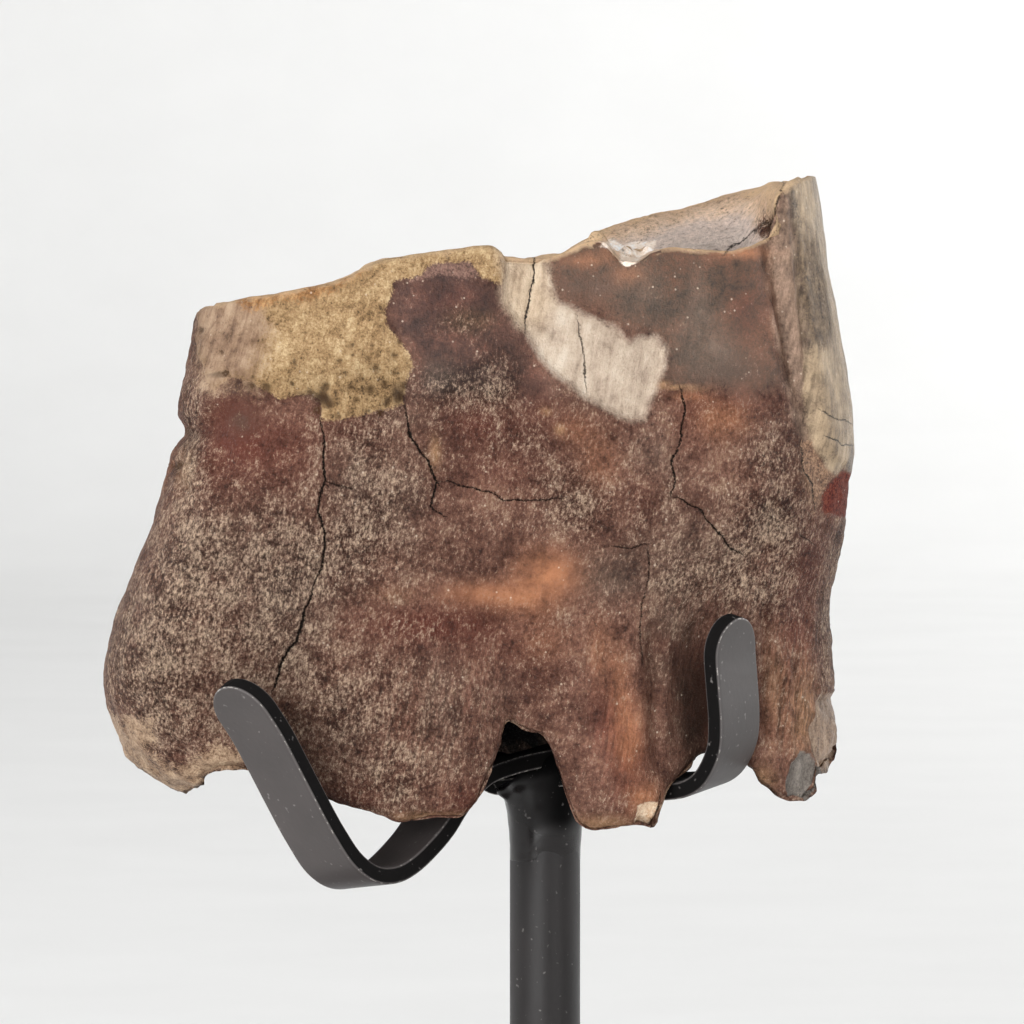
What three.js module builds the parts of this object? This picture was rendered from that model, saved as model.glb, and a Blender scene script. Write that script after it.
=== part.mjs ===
// A fossil woolly rhinoceros cheek tooth in its display cradle: two black steel strips crossed on a round
// post, bent up into four prongs, on a plain steel plate. Millimetres, +Z up, +Y away from the viewer.
// The origin is the centre of the plate's underside. The tooth and the cradle lean together, so both are
// modelled upright in a seat frame, whose origin is the middle of the crossing, and then turned as one group.
import * as THREE from "three";

// ---- driving dimensions ---------------------------------------------------------------------------------

const PLATE = { width: 90, depth: 72, thickness: 6, corner: 4, bevel: 0.8 };
const POST = { radius: 3.2, collarRadius: 4.1, collarHeight: 3.6, topBevel: 0.4, sides: 24 };
const SEAT = { height: 66, lean: THREE.MathUtils.degToRad(12) };
const STRIP = { width: 6.5, thickness: 1.5, tipWidth: 0.8, sections: 48 };
const GAP = 0.3; // between the pieces that the braze joins

// A strip's centre line in its own upright plane: [reach from the post's axis, height above the seat].
// The front prong has positive reach.
const LONG_STRIP = {
  heading: THREE.MathUtils.degToRad(225), // front left to back right
  line: [
    [35.8, 13.6], [34.9, 11.4], [33.4, 8.3], [31.4, 2.8], [29.7, -1.6], [28.2, -4.4], [26.3, -6.0],
    [24.0, -6.5], [21.8, -6.2], [18.7, -5.0], [16.6, -3.9], [14.6, -2.5], [12.4, -1.2], [10.4, -0.5],
    [7, -0.3], [3, -0.5], [0, -0.6], [-6, -0.7], [-12, -1.1], [-20, -1.8], [-26, -2], [-29.4, -1.2],
    [-31.2, 1], [-31.9, 4], [-32.4, 8], [-33.0, 12],
  ],
};
const CROSS_STRIP = {
  heading: THREE.MathUtils.degToRad(-35), // front right to back left, passing under the long strip
  line: [
    [23.1, 9.3], [22.7, 8.4], [22, 6], [21.6, 3.6], [21.1, 0.6], [20.4, -1.7], [19.3, -3.3],
    [17.9, -4.5], [16.3, -5.05], [14.4, -5.1], [11, -4.7], [7.5, -3.6], [4.2, -2.6], [0, -2.5],
    [-4.2, -2.35], [-5.6, -1.5], [-7.2, -0.7], [-9.5, -0.2], [-13, 0], [-17, 0], [-20.2, 0.7],
    [-22, 3], [-22.8, 6.2], [-23.4, 10.4],
  ],
};

// The tooth in the seat frame. Its sides are [height, x], its edges are [x, height].
const LEFT_SIDE = [
  [-9, -31], [4, -33], [5.4, -34.9], [7.5, -36.7], [10, -37.7], [13, -38], [16.4, -37.3], [19, -35.8],
  [22, -33.6], [25, -31.3], [28, -29.6], [32, -27.8], [34, -26.6], [35.5, -25.3], [37, -25.6], [41, -24],
  [46, -21.8],
];
const RIGHT_SIDE = [
  [-9, 24.4], [-6.1, 25.4], [-4.4, 26.2], [-2.4, 26.9], [0, 27.2], [3, 27.6], [6.4, 28], [8.5, 28.6],
  [11.5, 30], [14.5, 31.2], [18.4, 32.2], [21.5, 33], [25, 33.6], [30, 34.2], [38, 34.6], [46, 35],
];
const FRONT_FOOT = [
  [-38, 5.6], [-33, 4.6], [-31, 4.8], [-30, 5.6], [-28, 5.9], [-26, 5.4], [-23, 3.6], [-19, 0.9],
  [-16, -0.5], [-14.6, -1.3], [-13.6, -2.1], [-10.6, -2.3], [-8.4, -2.8], [-6.8, -1.9], [-5.3, 0],
  [-3.6, 2.7], [-2.5, 4.5], [-1.2, 3.4], [0.4, 2.5], [0.9, 1.2], [1.2, -2.8], [1.7, -5.7], [3, -6.7],
  [6.8, -7], [8.3, -7.7], [9.6, -4.9], [10.4, -3.7], [12.4, -2.2], [14, -1.4], [16.5, -1.6],
  [18.1, -4.3], [19.1, -6], [20.7, -7.9], [22.2, -8.5], [23.2, -8], [23.8, -6.2], [25.2, -6.1],
  [27, -5],
];
const BACK_FOOT = [
  [-38, 7], [-33, 6.2], [-28, 6], [-25, 5.6], [-22, 4], [-20, 2.8], [-17.5, 1.9], [-14, 1.7], [-8.8, 1.6],
  [-6, 1.3], [-4.8, -0.4], [-3, -1.3], [-1, -1.8], [2, -2.8], [4, -2.6], [5.4, -0.6], [6.6, 0.2], [8, 0.1],
  [11, -0.4], [20, -0.6], [22, -2.6], [24, -4.2], [27, -4.4],
];
const FRONT_RIM = [
  [-23, 45.6], [-21.3, 46.1], [-17.7, 46], [-12.4, 45.6], [-9.7, 45.6], [-7.8, 46], [-6.3, 46.6],
  [-4.9, 46.9], [-3.2, 46.8], [2.1, 46.2], [4.5, 45.8], [5.8, 44.8], [8, 44.4], [10.6, 44.2], [13.4, 44.4],
  [14.5, 44.1], [15.8, 42.3], [17.3, 42], [18.5, 42.4], [19.7, 42.5], [21.8, 42], [23.5, 41.4],
  [26.6, 41], [29, 41.4], [30.2, 42.8], [31.2, 44.2], [33, 45.2], [35.4, 46],
];
const BACK_RIM = [
  [-23, 45], [-18, 44.2], [-8, 43.8], [-4, 43], [-1.5, 40.5], [1.2, 41.5], [6, 43], [10.7, 43.6],
  [12.7, 44.1], [18.5, 44.9], [24, 45.2], [30, 45.6], [35.4, 46],
];
// How far the flat faces lie before and behind the post's axis, as [height, distance]. Both faces turn
// away to the right, so distances are measured from a line that slants by SLANT per millimetre.
const FRONT_DEPTH = [[-8, 15], [-3, 15.6], [3, 16.2], [12, 16.8], [20, 18.4], [32, 18.6], [46, 17.2]];
const BACK_DEPTH = [[-8, 12.4], [0, 13.6], [10, 14.4], [18, 17.6], [28, 19], [38, 18], [46, 16.6]];
const SLANT = 0.2;
// The strip over which the front edge turns into the back edge, measured from the slanting line.
const FOOT_BLEND = [-7, 5];
const RIM_BLEND = [-12, 10];
const ROUNDING = { roots: 2.8, crown: 4.4 }; // superellipse powers of the plan outline, root and crown

// Relief on the flat faces: [x, height, half width, half height, amount outwards].
const FRONT_RELIEF = [
  [29.2, 32, 0.9, 11, -1.3], // the fold before the right corner
  [30.9, 31, 0.8, 12, 0.5],
  [16.3, -1, 4.4, 11, -3.1], // the hollow between the two right roots
  [-1.2, 6, 3.4, 9, -1.4], // the fork above the middle arch
  [-21, 2, 3.2, 8, -1.6], // the hollow behind the left root
  [-30, 12, 5, 8, 1.0],
  [-10, 6, 7, 9, 0.8],
  [5.5, -1, 3.4, 9, 0.9],
  [7.5, 37, 4, 8, -0.9], // the bare enamel window
  [-3, 36, 5, 10, 0.5],
];
const BACK_RELIEF = [
  [-1.6, 38, 3.6, 15, -4], // the valley between the two back cusps
  [-13, 30, 7, 18, 1.2],
  [12, 30, 8, 18, 1.4],
  [-3, 0, 4, 7, -1.2],
  [27, 20, 4, 16, -1.5],
];

// Hollows in the crown: centre, half sizes, how deep at the front and how deep at the back. The lip is the
// share of the half size that the side slope takes.
const CROWN_HOLLOWS = [
  { x: 21, y: -1, halfX: 9.5, halfY: 14, front: 7, back: 0.6, lip: 0.42 },
  { x: -12, y: -1, halfX: 8.5, halfY: 10.5, front: 6.5, back: 6.5, lip: 0.42 },
];
// The valley that runs from the middle of the crown out through the back face.
const VALLEY = { from: [3, 1], to: [-1.6, 21], halfWidth: 3.6, depth: 6 };
// The vault between the roots: centre, half sizes, its roof's height over the seat, and the lip.
const VAULT = { x: -2.5, y: -1.6, halfX: 22, halfY: 11.9, roof: 7.2, lip: 0.16 };
const EDGE_ROUND = { foot: 1.6, rim: 0.7, share: 0.8 }; // radii, and how full the rounding is
const ROOT_LEVEL = 2; // below this the plan outline is all root, and above CROWN_LEVEL it is all crown
const CROWN_LEVEL = 26;

// The skin's columns run from the vault's middle over foot, wall and rim to the crown's middle.
const SKIN = { columns: 92, footRings: 8, wallRings: 22, crownRings: 14 };
const CAP_SPREAD = { outermost: 0.96, power: 0.85 }; // share of the way to the edge, and crowding towards it
const WALL_CROWDING = 0.35; // 0 spaces the wall's rings evenly, 1 crowds them to foot and rim
const LOOP_SAMPLES = 4000;
const FRONT_DENSITY = 1.9; // columns per millimetre along the front, against 1 along the back
const FRONT_FROM = -0.3; // where on the unit outline the front begins
const TOOTH_ASPECT = 1.7; // width over depth, for spacing the columns
const SETTLING = { rounds: 12, step: 0.6 }; // for finding where the wall meets a wavy edge
const VAULT_CENTRE = [-3, -0.6];
const CROWN_CENTRE = [3, 1.6];

// ---- shape helpers --------------------------------------------------------------------------------------

const { clamp, lerp, smoothstep } = THREE.MathUtils;
const bell = (offset) => Math.exp(-offset * offset);

// A smooth curve through points with rising first values that never overshoots them (monotone cubic).
function curveThrough(points) {
  const step = points.slice(1).map(([x], i) => x - points[i][0]);
  const rise = points.slice(1).map(([, y], i) => (y - points[i][1]) / step[i]);
  const slope = points.map((_, i) => {
    if (i === 0) return rise[0];
    if (i === points.length - 1) return rise[i - 1];
    return rise[i - 1] * rise[i] <= 0 ? 0 : (2 * rise[i - 1] * rise[i]) / (rise[i - 1] + rise[i]);
  });
  return (x) => {
    let i = points.length - 2;
    while (i > 0 && x < points[i][0]) i--;
    const t = clamp((x - points[i][0]) / step[i], 0, 1);
    const [y0, y1, t2, t3] = [points[i][1], points[i + 1][1], t * t, t * t * t];
    const bend = (t3 - 2 * t2 + t) * slope[i] + (t3 - t2) * slope[i + 1];
    return y0 + (y1 - y0) * (3 * t2 - 2 * t3) + bend * step[i];
  };
}

// Points round a unit superellipse |x|^n + |y|^n = 1, from the right end by way of the front (-y). They are
// spread by length, with the front counted as longer, so that it gets more of them.
function superellipseLoop(power) {
  const signedPower = (value) => Math.sign(value) * Math.abs(value) ** (2 / power);
  const raw = [];
  const along = [0];
  for (let i = 0; i <= LOOP_SAMPLES; i++) {
    const turn = (-2 * Math.PI * i) / LOOP_SAMPLES;
    raw.push([signedPower(Math.cos(turn)), signedPower(Math.sin(turn))]);
    if (i === 0) continue;
    const [dx, dy] = [raw[i][0] - raw[i - 1][0], raw[i][1] - raw[i - 1][1]];
    const density = raw[i][1] < FRONT_FROM ? FRONT_DENSITY : 1;
    along.push(along[i - 1] + Math.hypot(TOOTH_ASPECT * dx, dy) * density);
  }
  const total = along[LOOP_SAMPLES];
  const loop = [];
  let at = 0;
  for (let column = 0; column < SKIN.columns; column++) {
    while (along[at + 1] < (total * column) / SKIN.columns) at++;
    loop.push(raw[at]);
  }
  return loop;
}

// A closed skin from a pole, rings of points from the lowest to the highest, and a second pole.
function skin(bottomPole, rings, topPole) {
  const count = rings[0].length;
  const positions = [bottomPole, ...rings.flat(), topPole].flat();
  const index = [];
  const at = (ring, column) => 1 + ring * count + (column % count);
  for (let c = 0; c < count; c++) {
    index.push(0, at(0, c), at(0, c + 1));
    for (let r = 0; r < rings.length - 1; r++) {
      index.push(at(r, c), at(r + 1, c), at(r + 1, c + 1), at(r, c), at(r + 1, c + 1), at(r, c + 1));
    }
    const [last, top] = [rings.length - 1, 1 + rings.length * count];
    index.push(at(last, c), top, at(last, c + 1));
  }
  const geometry = new THREE.BufferGeometry();
  geometry.setAttribute("position", new THREE.Float32BufferAttribute(positions, 3));
  geometry.setIndex(index);
  geometry.computeVertexNormals();
  return geometry;
}

// ---- the tooth ------------------------------------------------------------------------------------------

const leftSide = curveThrough(LEFT_SIDE);
const rightSide = curveThrough(RIGHT_SIDE);
const frontFoot = curveThrough(FRONT_FOOT);
const backFoot = curveThrough(BACK_FOOT);
const frontRim = curveThrough(FRONT_RIM);
const backRim = curveThrough(BACK_RIM);
const frontDepth = curveThrough(FRONT_DEPTH);
const backDepth = curveThrough(BACK_DEPTH);
const rootLoop = superellipseLoop(ROUNDING.roots);
const crownLoop = superellipseLoop(ROUNDING.crown);

// Distance behind the slanting middle line of the tooth.
const behind = (x, y) => y - SLANT * x;
const footHeight = (x, y) => lerp(frontFoot(x), backFoot(x), smoothstep(behind(x, y), ...FOOT_BLEND));
const rimHeight = (x, y) => lerp(frontRim(x), backRim(x), smoothstep(behind(x, y), ...RIM_BLEND));

function relief(bumps, x, z) {
  const height = ([x0, z0, halfWidth, halfHeight, out]) =>
    out * bell((x - x0) / halfWidth) * bell((z - z0) / halfHeight);
  return bumps.reduce((sum, bump) => sum + height(bump), 0);
}

// The outer wall's plan position at a height: the superellipse between the two sides and the two faces,
// pushed out by the relief and drawn in by inset.
function wallPoint(column, z, inset) {
  const squareness = smoothstep(z, ROOT_LEVEL, CROWN_LEVEL);
  const cx = lerp(rootLoop[column][0], crownLoop[column][0], squareness);
  const cy = lerp(rootLoop[column][1], crownLoop[column][1], squareness);
  const x = lerp(leftSide(z), rightSide(z), (cx + 1) / 2);
  const y = cy * (cy < 0 ? frontDepth(z) : backDepth(z)) + SLANT * x;
  const out = relief(cy < 0 ? FRONT_RELIEF : BACK_RELIEF, x, z) * cy * cy - inset;
  const length = Math.hypot(cx ** 3, cy ** 3);
  return [x + (out * cx ** 3) / length, y + (out * cy ** 3) / length];
}

// Where a column's wall meets an edge whose height depends on the place.
function edgePoint(column, heightAt) {
  let point = [0, 0];
  let z = heightAt(...point);
  for (let round = 0; round < SETTLING.rounds; round++) {
    point = wallPoint(column, z, 0);
    z = lerp(z, heightAt(...point), SETTLING.step);
  }
  return [...point, z];
}

// 1 inside a rounded box that slants with the tooth, 0 outside it, with a smooth slope over its lip.
function insideBox(x, y, { x: x0, y: y0, halfX, halfY, lip }) {
  const across = Math.abs((x - x0) / halfX);
  const along = Math.abs((behind(x, y) - y0) / halfY);
  return 1 - smoothstep((across ** 4 + along ** 4) ** 0.25, 1 - lip, 1);
}

function distanceToLine(x, y, [x0, y0], [x1, y1]) {
  const [dx, dy] = [x1 - x0, y1 - y0];
  const share = clamp(((x - x0) * dx + (y - y0) * dy) / (dx * dx + dy * dy), 0, 1);
  return Math.hypot(x - x0 - share * dx, y - y0 - share * dy);
}

function crownHeight(x, y) {
  let z = rimHeight(x, y);
  for (const hollow of CROWN_HOLLOWS) {
    const along = clamp((behind(x, y) - hollow.y) / hollow.halfY / 2 + 0.5, 0, 1);
    z -= lerp(hollow.front, hollow.back, along) * insideBox(x, y, hollow);
  }
  const fromValley = distanceToLine(x, behind(x, y), VALLEY.from, VALLEY.to);
  return z - VALLEY.depth * bell(fromValley / VALLEY.halfWidth);
}

const vaultHeight = (x, y) => lerp(footHeight(x, y), VAULT.roof, insideBox(x, y, VAULT));

// Rings from near a centre out to near an edge, closer together towards the edge.
function capRings(count, [centreX, centreY], edge, heightAt) {
  const rings = [];
  for (let r = 1; r <= count; r++) {
    const share = CAP_SPREAD.outermost * Math.sin((0.5 * Math.PI * r) / (count + 1)) ** CAP_SPREAD.power;
    rings.push(
      edge.map(([edgeX, edgeY]) => {
        const [x, y] = [lerp(centreX, edgeX, share), lerp(centreY, edgeY, share)];
        return [x, y, heightAt(x, y)];
      }),
    );
  }
  return rings;
}

// How far a rounded edge draws the wall in, at a distance from the edge.
function roundedInset(distance, radius) {
  if (distance >= radius) return 0;
  return EDGE_ROUND.share * (radius - Math.sqrt(radius ** 2 - (radius - distance) ** 2));
}

// Rings up the outer wall from the foot to the rim, closer together near both.
function wallRings(foot, rim) {
  const rings = [];
  for (let r = 0; r <= SKIN.wallRings; r++) {
    const even = r / SKIN.wallRings;
    const share = lerp(even, smoothstep(even, 0, 1), WALL_CROWDING);
    rings.push(
      foot.map(([, , low], column) => {
        const high = rim[column][2];
        const z = lerp(low, high, share);
        const inset = roundedInset(z - low, EDGE_ROUND.foot) + roundedInset(high - z, EDGE_ROUND.rim);
        return [...wallPoint(column, z, inset), z];
      }),
    );
  }
  return rings;
}

function toothGeometry() {
  const foot = rootLoop.map((_, column) => edgePoint(column, footHeight));
  const rim = rootLoop.map((_, column) => edgePoint(column, rimHeight));
  const vault = capRings(SKIN.footRings, VAULT_CENTRE, foot, vaultHeight);
  const crown = capRings(SKIN.crownRings, CROWN_CENTRE, rim, crownHeight);
  return skin(
    [...VAULT_CENTRE, vaultHeight(...VAULT_CENTRE)],
    [...vault, ...wallRings(foot, rim), ...crown.reverse()],
    [...CROWN_CENTRE, crownHeight(...CROWN_CENTRE)],
  );
}

// ---- the stand ------------------------------------------------------------------------------------------

// A flat bar bent along a line in its own XZ plane, its width along Y, with both ends rounded over. Its
// sections stand closer together near the ends, where the tips are round.
function stripGeometry({ line }) {
  const path = new THREE.CatmullRomCurve3(line.map(([reach, height]) => new THREE.Vector3(reach, 0, height)));
  const length = path.getLength();
  const tipRadius = STRIP.width / 2;
  const rings = [];
  for (let i = 0; i <= STRIP.sections; i++) {
    const share = 0.5 - 0.5 * Math.cos((Math.PI * i) / STRIP.sections);
    const { x, z } = path.getPointAt(share);
    const along = path.getTangentAt(share);
    const [outX, outZ] = [(-along.z * STRIP.thickness) / 2, (along.x * STRIP.thickness) / 2];
    const beforeTip = Math.max(0, tipRadius - Math.min(share, 1 - share) * length);
    const half = Math.max(STRIP.tipWidth / 2, Math.sqrt(tipRadius ** 2 - beforeTip ** 2));
    rings.push([
      [x + outX, -half, z + outZ], [x + outX, half, z + outZ],
      [x - outX, half, z - outZ], [x - outX, -half, z - outZ],
    ]);
  }
  return skin(path.getPointAt(0).toArray(), rings, path.getPointAt(1).toArray());
}

// The post: a round bar that swells into a braze collar under the crossing, its top cut along the lean.
function postGeometry(foot, crossing) {
  const { radius, collarRadius, collarHeight, topBevel } = POST;
  const top = crossing - foot;
  const profile = [
    [0, 0], [radius, 0], [radius, top - 2 * collarHeight], [radius, top - collarHeight],
    [lerp(radius, collarRadius, 0.25), top - 0.55 * collarHeight],
    [lerp(radius, collarRadius, 0.7), top - 0.25 * collarHeight], [collarRadius, top - topBevel],
    [collarRadius - topBevel, top], [0, top],
  ];
  const points = profile.map(([r, z]) => new THREE.Vector2(r, z));
  const geometry = new THREE.LatheGeometry(points, POST.sides).rotateX(Math.PI / 2);
  const position = geometry.getAttribute("position");
  for (let i = 0; i < position.count; i++) {
    const [x, z] = [position.getX(i), position.getZ(i)];
    const leaning = smoothstep(z, top - 2 * collarHeight, top - topBevel);
    position.setZ(i, foot + z + x * Math.tan(SEAT.lean) * leaning);
  }
  return geometry;
}

// A rounded rectangle with bevelled edges.
function plateGeometry() {
  const { width, depth, thickness, corner, bevel } = PLATE;
  const [x, y] = [width / 2 - corner, depth / 2 - corner];
  const outline = new THREE.Shape();
  outline.absarc(x, -y, corner, -Math.PI / 2, 0);
  outline.absarc(x, y, corner, 0, Math.PI / 2);
  outline.absarc(-x, y, corner, Math.PI / 2, Math.PI);
  outline.absarc(-x, -y, corner, Math.PI, 1.5 * Math.PI);
  const options = {
    depth: thickness - 2 * bevel,
    bevelThickness: bevel,
    bevelSize: bevel,
    bevelOffset: -bevel,
    bevelSegments: 1,
    curveSegments: 5,
  };
  return new THREE.ExtrudeGeometry(outline, options).translate(0, 0, bevel);
}

// ---- assembly -------------------------------------------------------------------------------------------

const BLACK_PAINT = { color: "#2b2a2c", roughness: 0.55, metalness: 0.3 };
const FOSSIL = { color: "#6b4a3a", roughness: 0.6, metalness: 0 };

function named(name, geometry, look) {
  const mesh = new THREE.Mesh(geometry, new THREE.MeshStandardMaterial(look));
  mesh.name = name;
  return mesh;
}

function strip(name, shape) {
  const mesh = named(name, stripGeometry(shape), BLACK_PAINT);
  mesh.rotation.z = shape.heading;
  return mesh;
}

const display = new THREE.Group();
const seat = new THREE.Group();
seat.position.z = SEAT.height;
seat.rotation.y = -SEAT.lean;
seat.add(
  strip("long_strip", LONG_STRIP),
  strip("cross_strip", CROSS_STRIP),
  named("tooth", toothGeometry(), FOSSIL),
);

// The post ends under the lower strip, whose middle passes this far below the seat.
const [, lowerStrip] = CROSS_STRIP.line.find(([reach]) => reach === 0);
const crossing = SEAT.height + (lowerStrip - STRIP.thickness / 2 - GAP) / Math.cos(SEAT.lean);
display.add(
  named("base_plate", plateGeometry(), BLACK_PAINT),
  named("post", postGeometry(PLATE.thickness, crossing), BLACK_PAINT),
  seat,
);

export default display;
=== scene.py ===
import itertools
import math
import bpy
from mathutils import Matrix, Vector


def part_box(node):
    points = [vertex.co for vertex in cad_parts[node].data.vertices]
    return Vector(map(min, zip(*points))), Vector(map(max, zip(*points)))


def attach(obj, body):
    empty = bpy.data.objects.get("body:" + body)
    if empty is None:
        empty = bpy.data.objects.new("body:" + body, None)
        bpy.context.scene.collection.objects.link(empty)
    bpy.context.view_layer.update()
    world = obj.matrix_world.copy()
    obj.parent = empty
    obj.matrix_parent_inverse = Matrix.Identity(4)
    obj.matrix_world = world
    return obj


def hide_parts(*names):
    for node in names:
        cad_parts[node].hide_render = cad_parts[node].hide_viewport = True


bl_info = {
    "name": "Fossil Tooth on a Steel Cradle",
    "version": (1, 0, 0),
    "blender": (4, 5, 0),
    "location": "3D View > Sidebar > Fossil Tooth",
    "description": "A fossil rhinoceros cheek tooth in a bent steel strip cradle on a post and plate",
    "category": "Add Mesh",
}

import bmesh
import bpy
import numpy as np

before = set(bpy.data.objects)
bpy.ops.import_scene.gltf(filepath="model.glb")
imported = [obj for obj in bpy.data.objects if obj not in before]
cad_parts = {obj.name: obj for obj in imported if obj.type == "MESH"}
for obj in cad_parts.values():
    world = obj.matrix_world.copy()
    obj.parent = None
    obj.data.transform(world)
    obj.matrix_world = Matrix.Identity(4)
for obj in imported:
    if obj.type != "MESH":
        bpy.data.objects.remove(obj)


# ---- sizes, in millimetres unless a line says otherwise --------------------------------------------------

MM = 0.001  # metres
WELD_REACH = 0.002 * MM  # points closer than this are one
SEAT_HEIGHT = 66  # where the strips cross, above the plate's underside
LEAN = math.radians(12)  # the cradle and the tooth lean together towards the left
CROSSING_REACH = 13  # how far from the crossing shade is painted on the strips

# The front view: its camera looks along +Y and slightly down. Places on the front face are given in steps
# of the view's square frame, counted from its top left corner. A step is STEP_MM wide at the post.
VIEW = {"aim": (-3.0, 0.0, 87.6), "distance": 650.0, "elevation": math.radians(3)}
FRAME_STEPS = 1024
STEP_MM = 0.0907
SENSOR_WIDTH = 36  # of the camera

# The tooth stands in its own upright frame, whose origin is where the strips cross. Sides are given as
# (height, x), edges as (x, height) and depths as (height, distance in front or behind).
LEFT_SIDE = [
    (-9, -31.6), (4, -33.2), (5.4, -34.5), (7.5, -36.1), (9, -36.8), (11.8, -37.3), (14, -37.4),
    (16.4, -36.9), (18.3, -36), (20, -35.1), (23.3, -33.1), (25, -31.8), (28, -29.9), (32, -27.8),
    (34, -26.6), (35.5, -25.3), (37, -25.6), (41, -24), (46, -21.8),
]
RIGHT_SIDE = [
    (-9, 25.6), (-6.1, 26.4), (-4.4, 26.8), (-2.4, 26.9), (0, 27.1), (3, 27.6), (6.4, 28), (8.5, 28.6),
    (11.5, 30), (14.5, 31.2), (18.4, 32.2), (21.5, 33), (25, 33.5), (30, 33.8), (36, 33.9), (41, 34.3),
    (46, 34.6),
]
FRONT_FOOT = [
    (-38, 4.9), (-33, 4.1), (-31, 4.5), (-30, 5.4), (-28, 5.8), (-26, 5.4), (-23, 3.6), (-19, 0.9),
    (-16, -0.5), (-14.6, -1.3), (-13.6, -2.1), (-10.6, -2.3), (-8.4, -2.8), (-6.8, -1.9), (-5.3, 0),
    (-3.6, 2.7), (-2.5, 4.5), (-1.2, 3.4), (0.4, 2.5), (0.9, 1.2), (1.2, -2.8), (1.7, -5.7), (3, -6.7),
    (6.8, -7), (8.3, -7.7), (9.6, -5.1), (10.4, -4.4), (12.4, -3.4), (14, -2.6), (16.5, -2.6), (18.1, -4.8),
    (19.1, -6.5), (20.7, -8.3), (22.2, -8.9), (23.2, -8.5), (23.8, -6.9), (25.2, -6.7), (27, -5.2),
]
BACK_FOOT = [
    (-38, 7), (-33, 6.2), (-28, 6), (-25, 5.6), (-22, 4), (-20, 2.8), (-17.5, 1.9), (-14, 1.7), (-8.8, 1.6),
    (-6, 1.3), (-4.8, -0.4), (-3, -1.3), (-1, -1.8), (2, -2.8), (4, -2.6), (5.4, -0.6), (6.6, 0.2), (8, 0.1),
    (11, -0.4), (20, -0.6), (22, -2.6), (24, -4.2), (27, -4.4),
]
FRONT_RIM = [
    (-23, 45.5), (-21.3, 45.9), (-17.7, 45.8), (-12.4, 45.6), (-9.7, 45.6), (-7.8, 45.9), (-6.3, 46.4),
    (-4.9, 46.7), (-3.2, 46.6), (2.1, 46.1), (4.5, 45.8), (5.8, 44.7), (8, 44.1), (10.6, 43.8), (13.4, 44.3),
    (14.5, 44.1), (15.8, 42.3), (17.3, 42), (18.5, 42.4), (19.7, 42.5), (21.8, 42), (23.5, 41.4), (26.6, 41),
    (29, 41.4), (29.6, 42.1), (30.3, 43.9), (31, 45.2), (31.8, 45.5), (33, 45.8), (34.2, 46.1), (35.4, 46.3),
]
BACK_RIM = [
    (-23, 45), (-18, 44.2), (-8, 43.8), (-4, 43), (-1.5, 40.5), (1.2, 41.5), (6, 42.6), (10.7, 43.2),
    (12.7, 44.1), (18.5, 45.1), (24, 45.3), (27, 45.5), (30, 45.5), (31.4, 45.7), (33, 45.3), (35.4, 44.8),
]
FRONT_DEPTH = [(-8, 15), (-3, 15.6), (3, 16.2), (12, 16.8), (20, 18.4), (32, 18.6), (46, 17.2)]
BACK_DEPTH = [(-8, 12.4), (0, 13.6), (10, 14.4), (18, 17.6), (28, 19), (38, 18), (46, 16.6)]
SLANT = 0.2  # how far the faces run backwards for each step to the right
FOOT_BLEND, RIM_BLEND = (-7, 5), (-12, 10)  # depths between which the front edge turns into the back edge
ROUNDING = {"roots": 2.8, "crown": 4.4}  # powers of the plan's superellipses
# Relief of the two faces: x, height, half width, half height and amount outwards.
FRONT_RELIEF = [
    (29.2, 32, 0.9, 11, -1.3), (30.9, 31, 0.8, 12, 0.5), (16.3, -1, 4.4, 11, -3.1), (-1.2, 6, 3.4, 9, -1.4),
    (-21, 2, 3.2, 8, -1.6), (-30, 12, 5, 8, 1.0), (-10, 6, 7, 9, 0.8), (5.5, -1, 3.4, 9, 0.9),
    (7.5, 37, 4, 8, -0.9), (-3, 36, 5, 10, 0.5),
]
BACK_RELIEF = [
    (-1.6, 38, 3.6, 15, -4), (-13, 30, 7, 18, 1.2), (12, 30, 8, 18, 1.4), (-3, 0, 4, 7, -1.2),
    (27, 20, 4, 16, -1.5),
]
# Hollows in the crown, deeper in front than behind, the valley between the two back cusps and the vault.
CROWN_HOLLOWS = [
    {"x": 21, "y": -1, "half_x": 9.5, "half_y": 14, "front": 7, "back": 0.6, "lip": 0.42},
    {"x": -12, "y": -1, "half_x": 8.5, "half_y": 10.5, "front": 6.5, "back": 6.5, "lip": 0.42},
]
VALLEY = {"line": [(3, 1), (-1.6, 21)], "half_width": 3.6, "depth": 6}
VAULT = {"x": -2.5, "y": -1.6, "half_x": 22, "half_y": 11.9, "roof": 7.2, "lip": 0.16}
# Broken sheets of enamel that stand up behind the front rim: half width and height, and their line.
CURLS = [
    (0.5, 1.7, [(15.8, -14.6), (16.8, -13.7), (17.8, -13.4), (19.2, -13.8)]),
    (0.4, 0.9, [(13.6, -14.6), (14.8, -14.0)]),
]
EDGE_ROUND = {"foot": 1.0, "rim": 0.35, "share": 0.8}
ROOT_LEVEL, CROWN_LEVEL = 2, 26  # heights between which the plan changes from the roots' to the crown's
VAULT_CENTRE, CROWN_CENTRE = (-3, -0.6), (3, 1.6)  # where the rings close
LOOP_SAMPLES, WIDTH_TO_DEPTH, FRONT_PART = 8001, 1.7, -0.3  # how points are spread round the plan
SETTLING_ROUNDS, SETTLING_SHARE = 14, 0.6  # how an edge's points are settled
CALMING_ROUNDS, CALMING_STEP, CALMING_POWER = 60, 3, 6  # how the foot's outline calms down above it
CROWDING = 0.2  # how far the wall's rings crowd towards its edges
VAULT_CROWDING, CROWN_CROWDING = 0.85, 0.9  # powers that crowd the rings of the two caps
EDGE_REACH = 1.2  # beyond this from an edge, relief pushes the wall out level
CAP_REACH = 0.985  # how near its edge a cap's last ring lies

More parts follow.
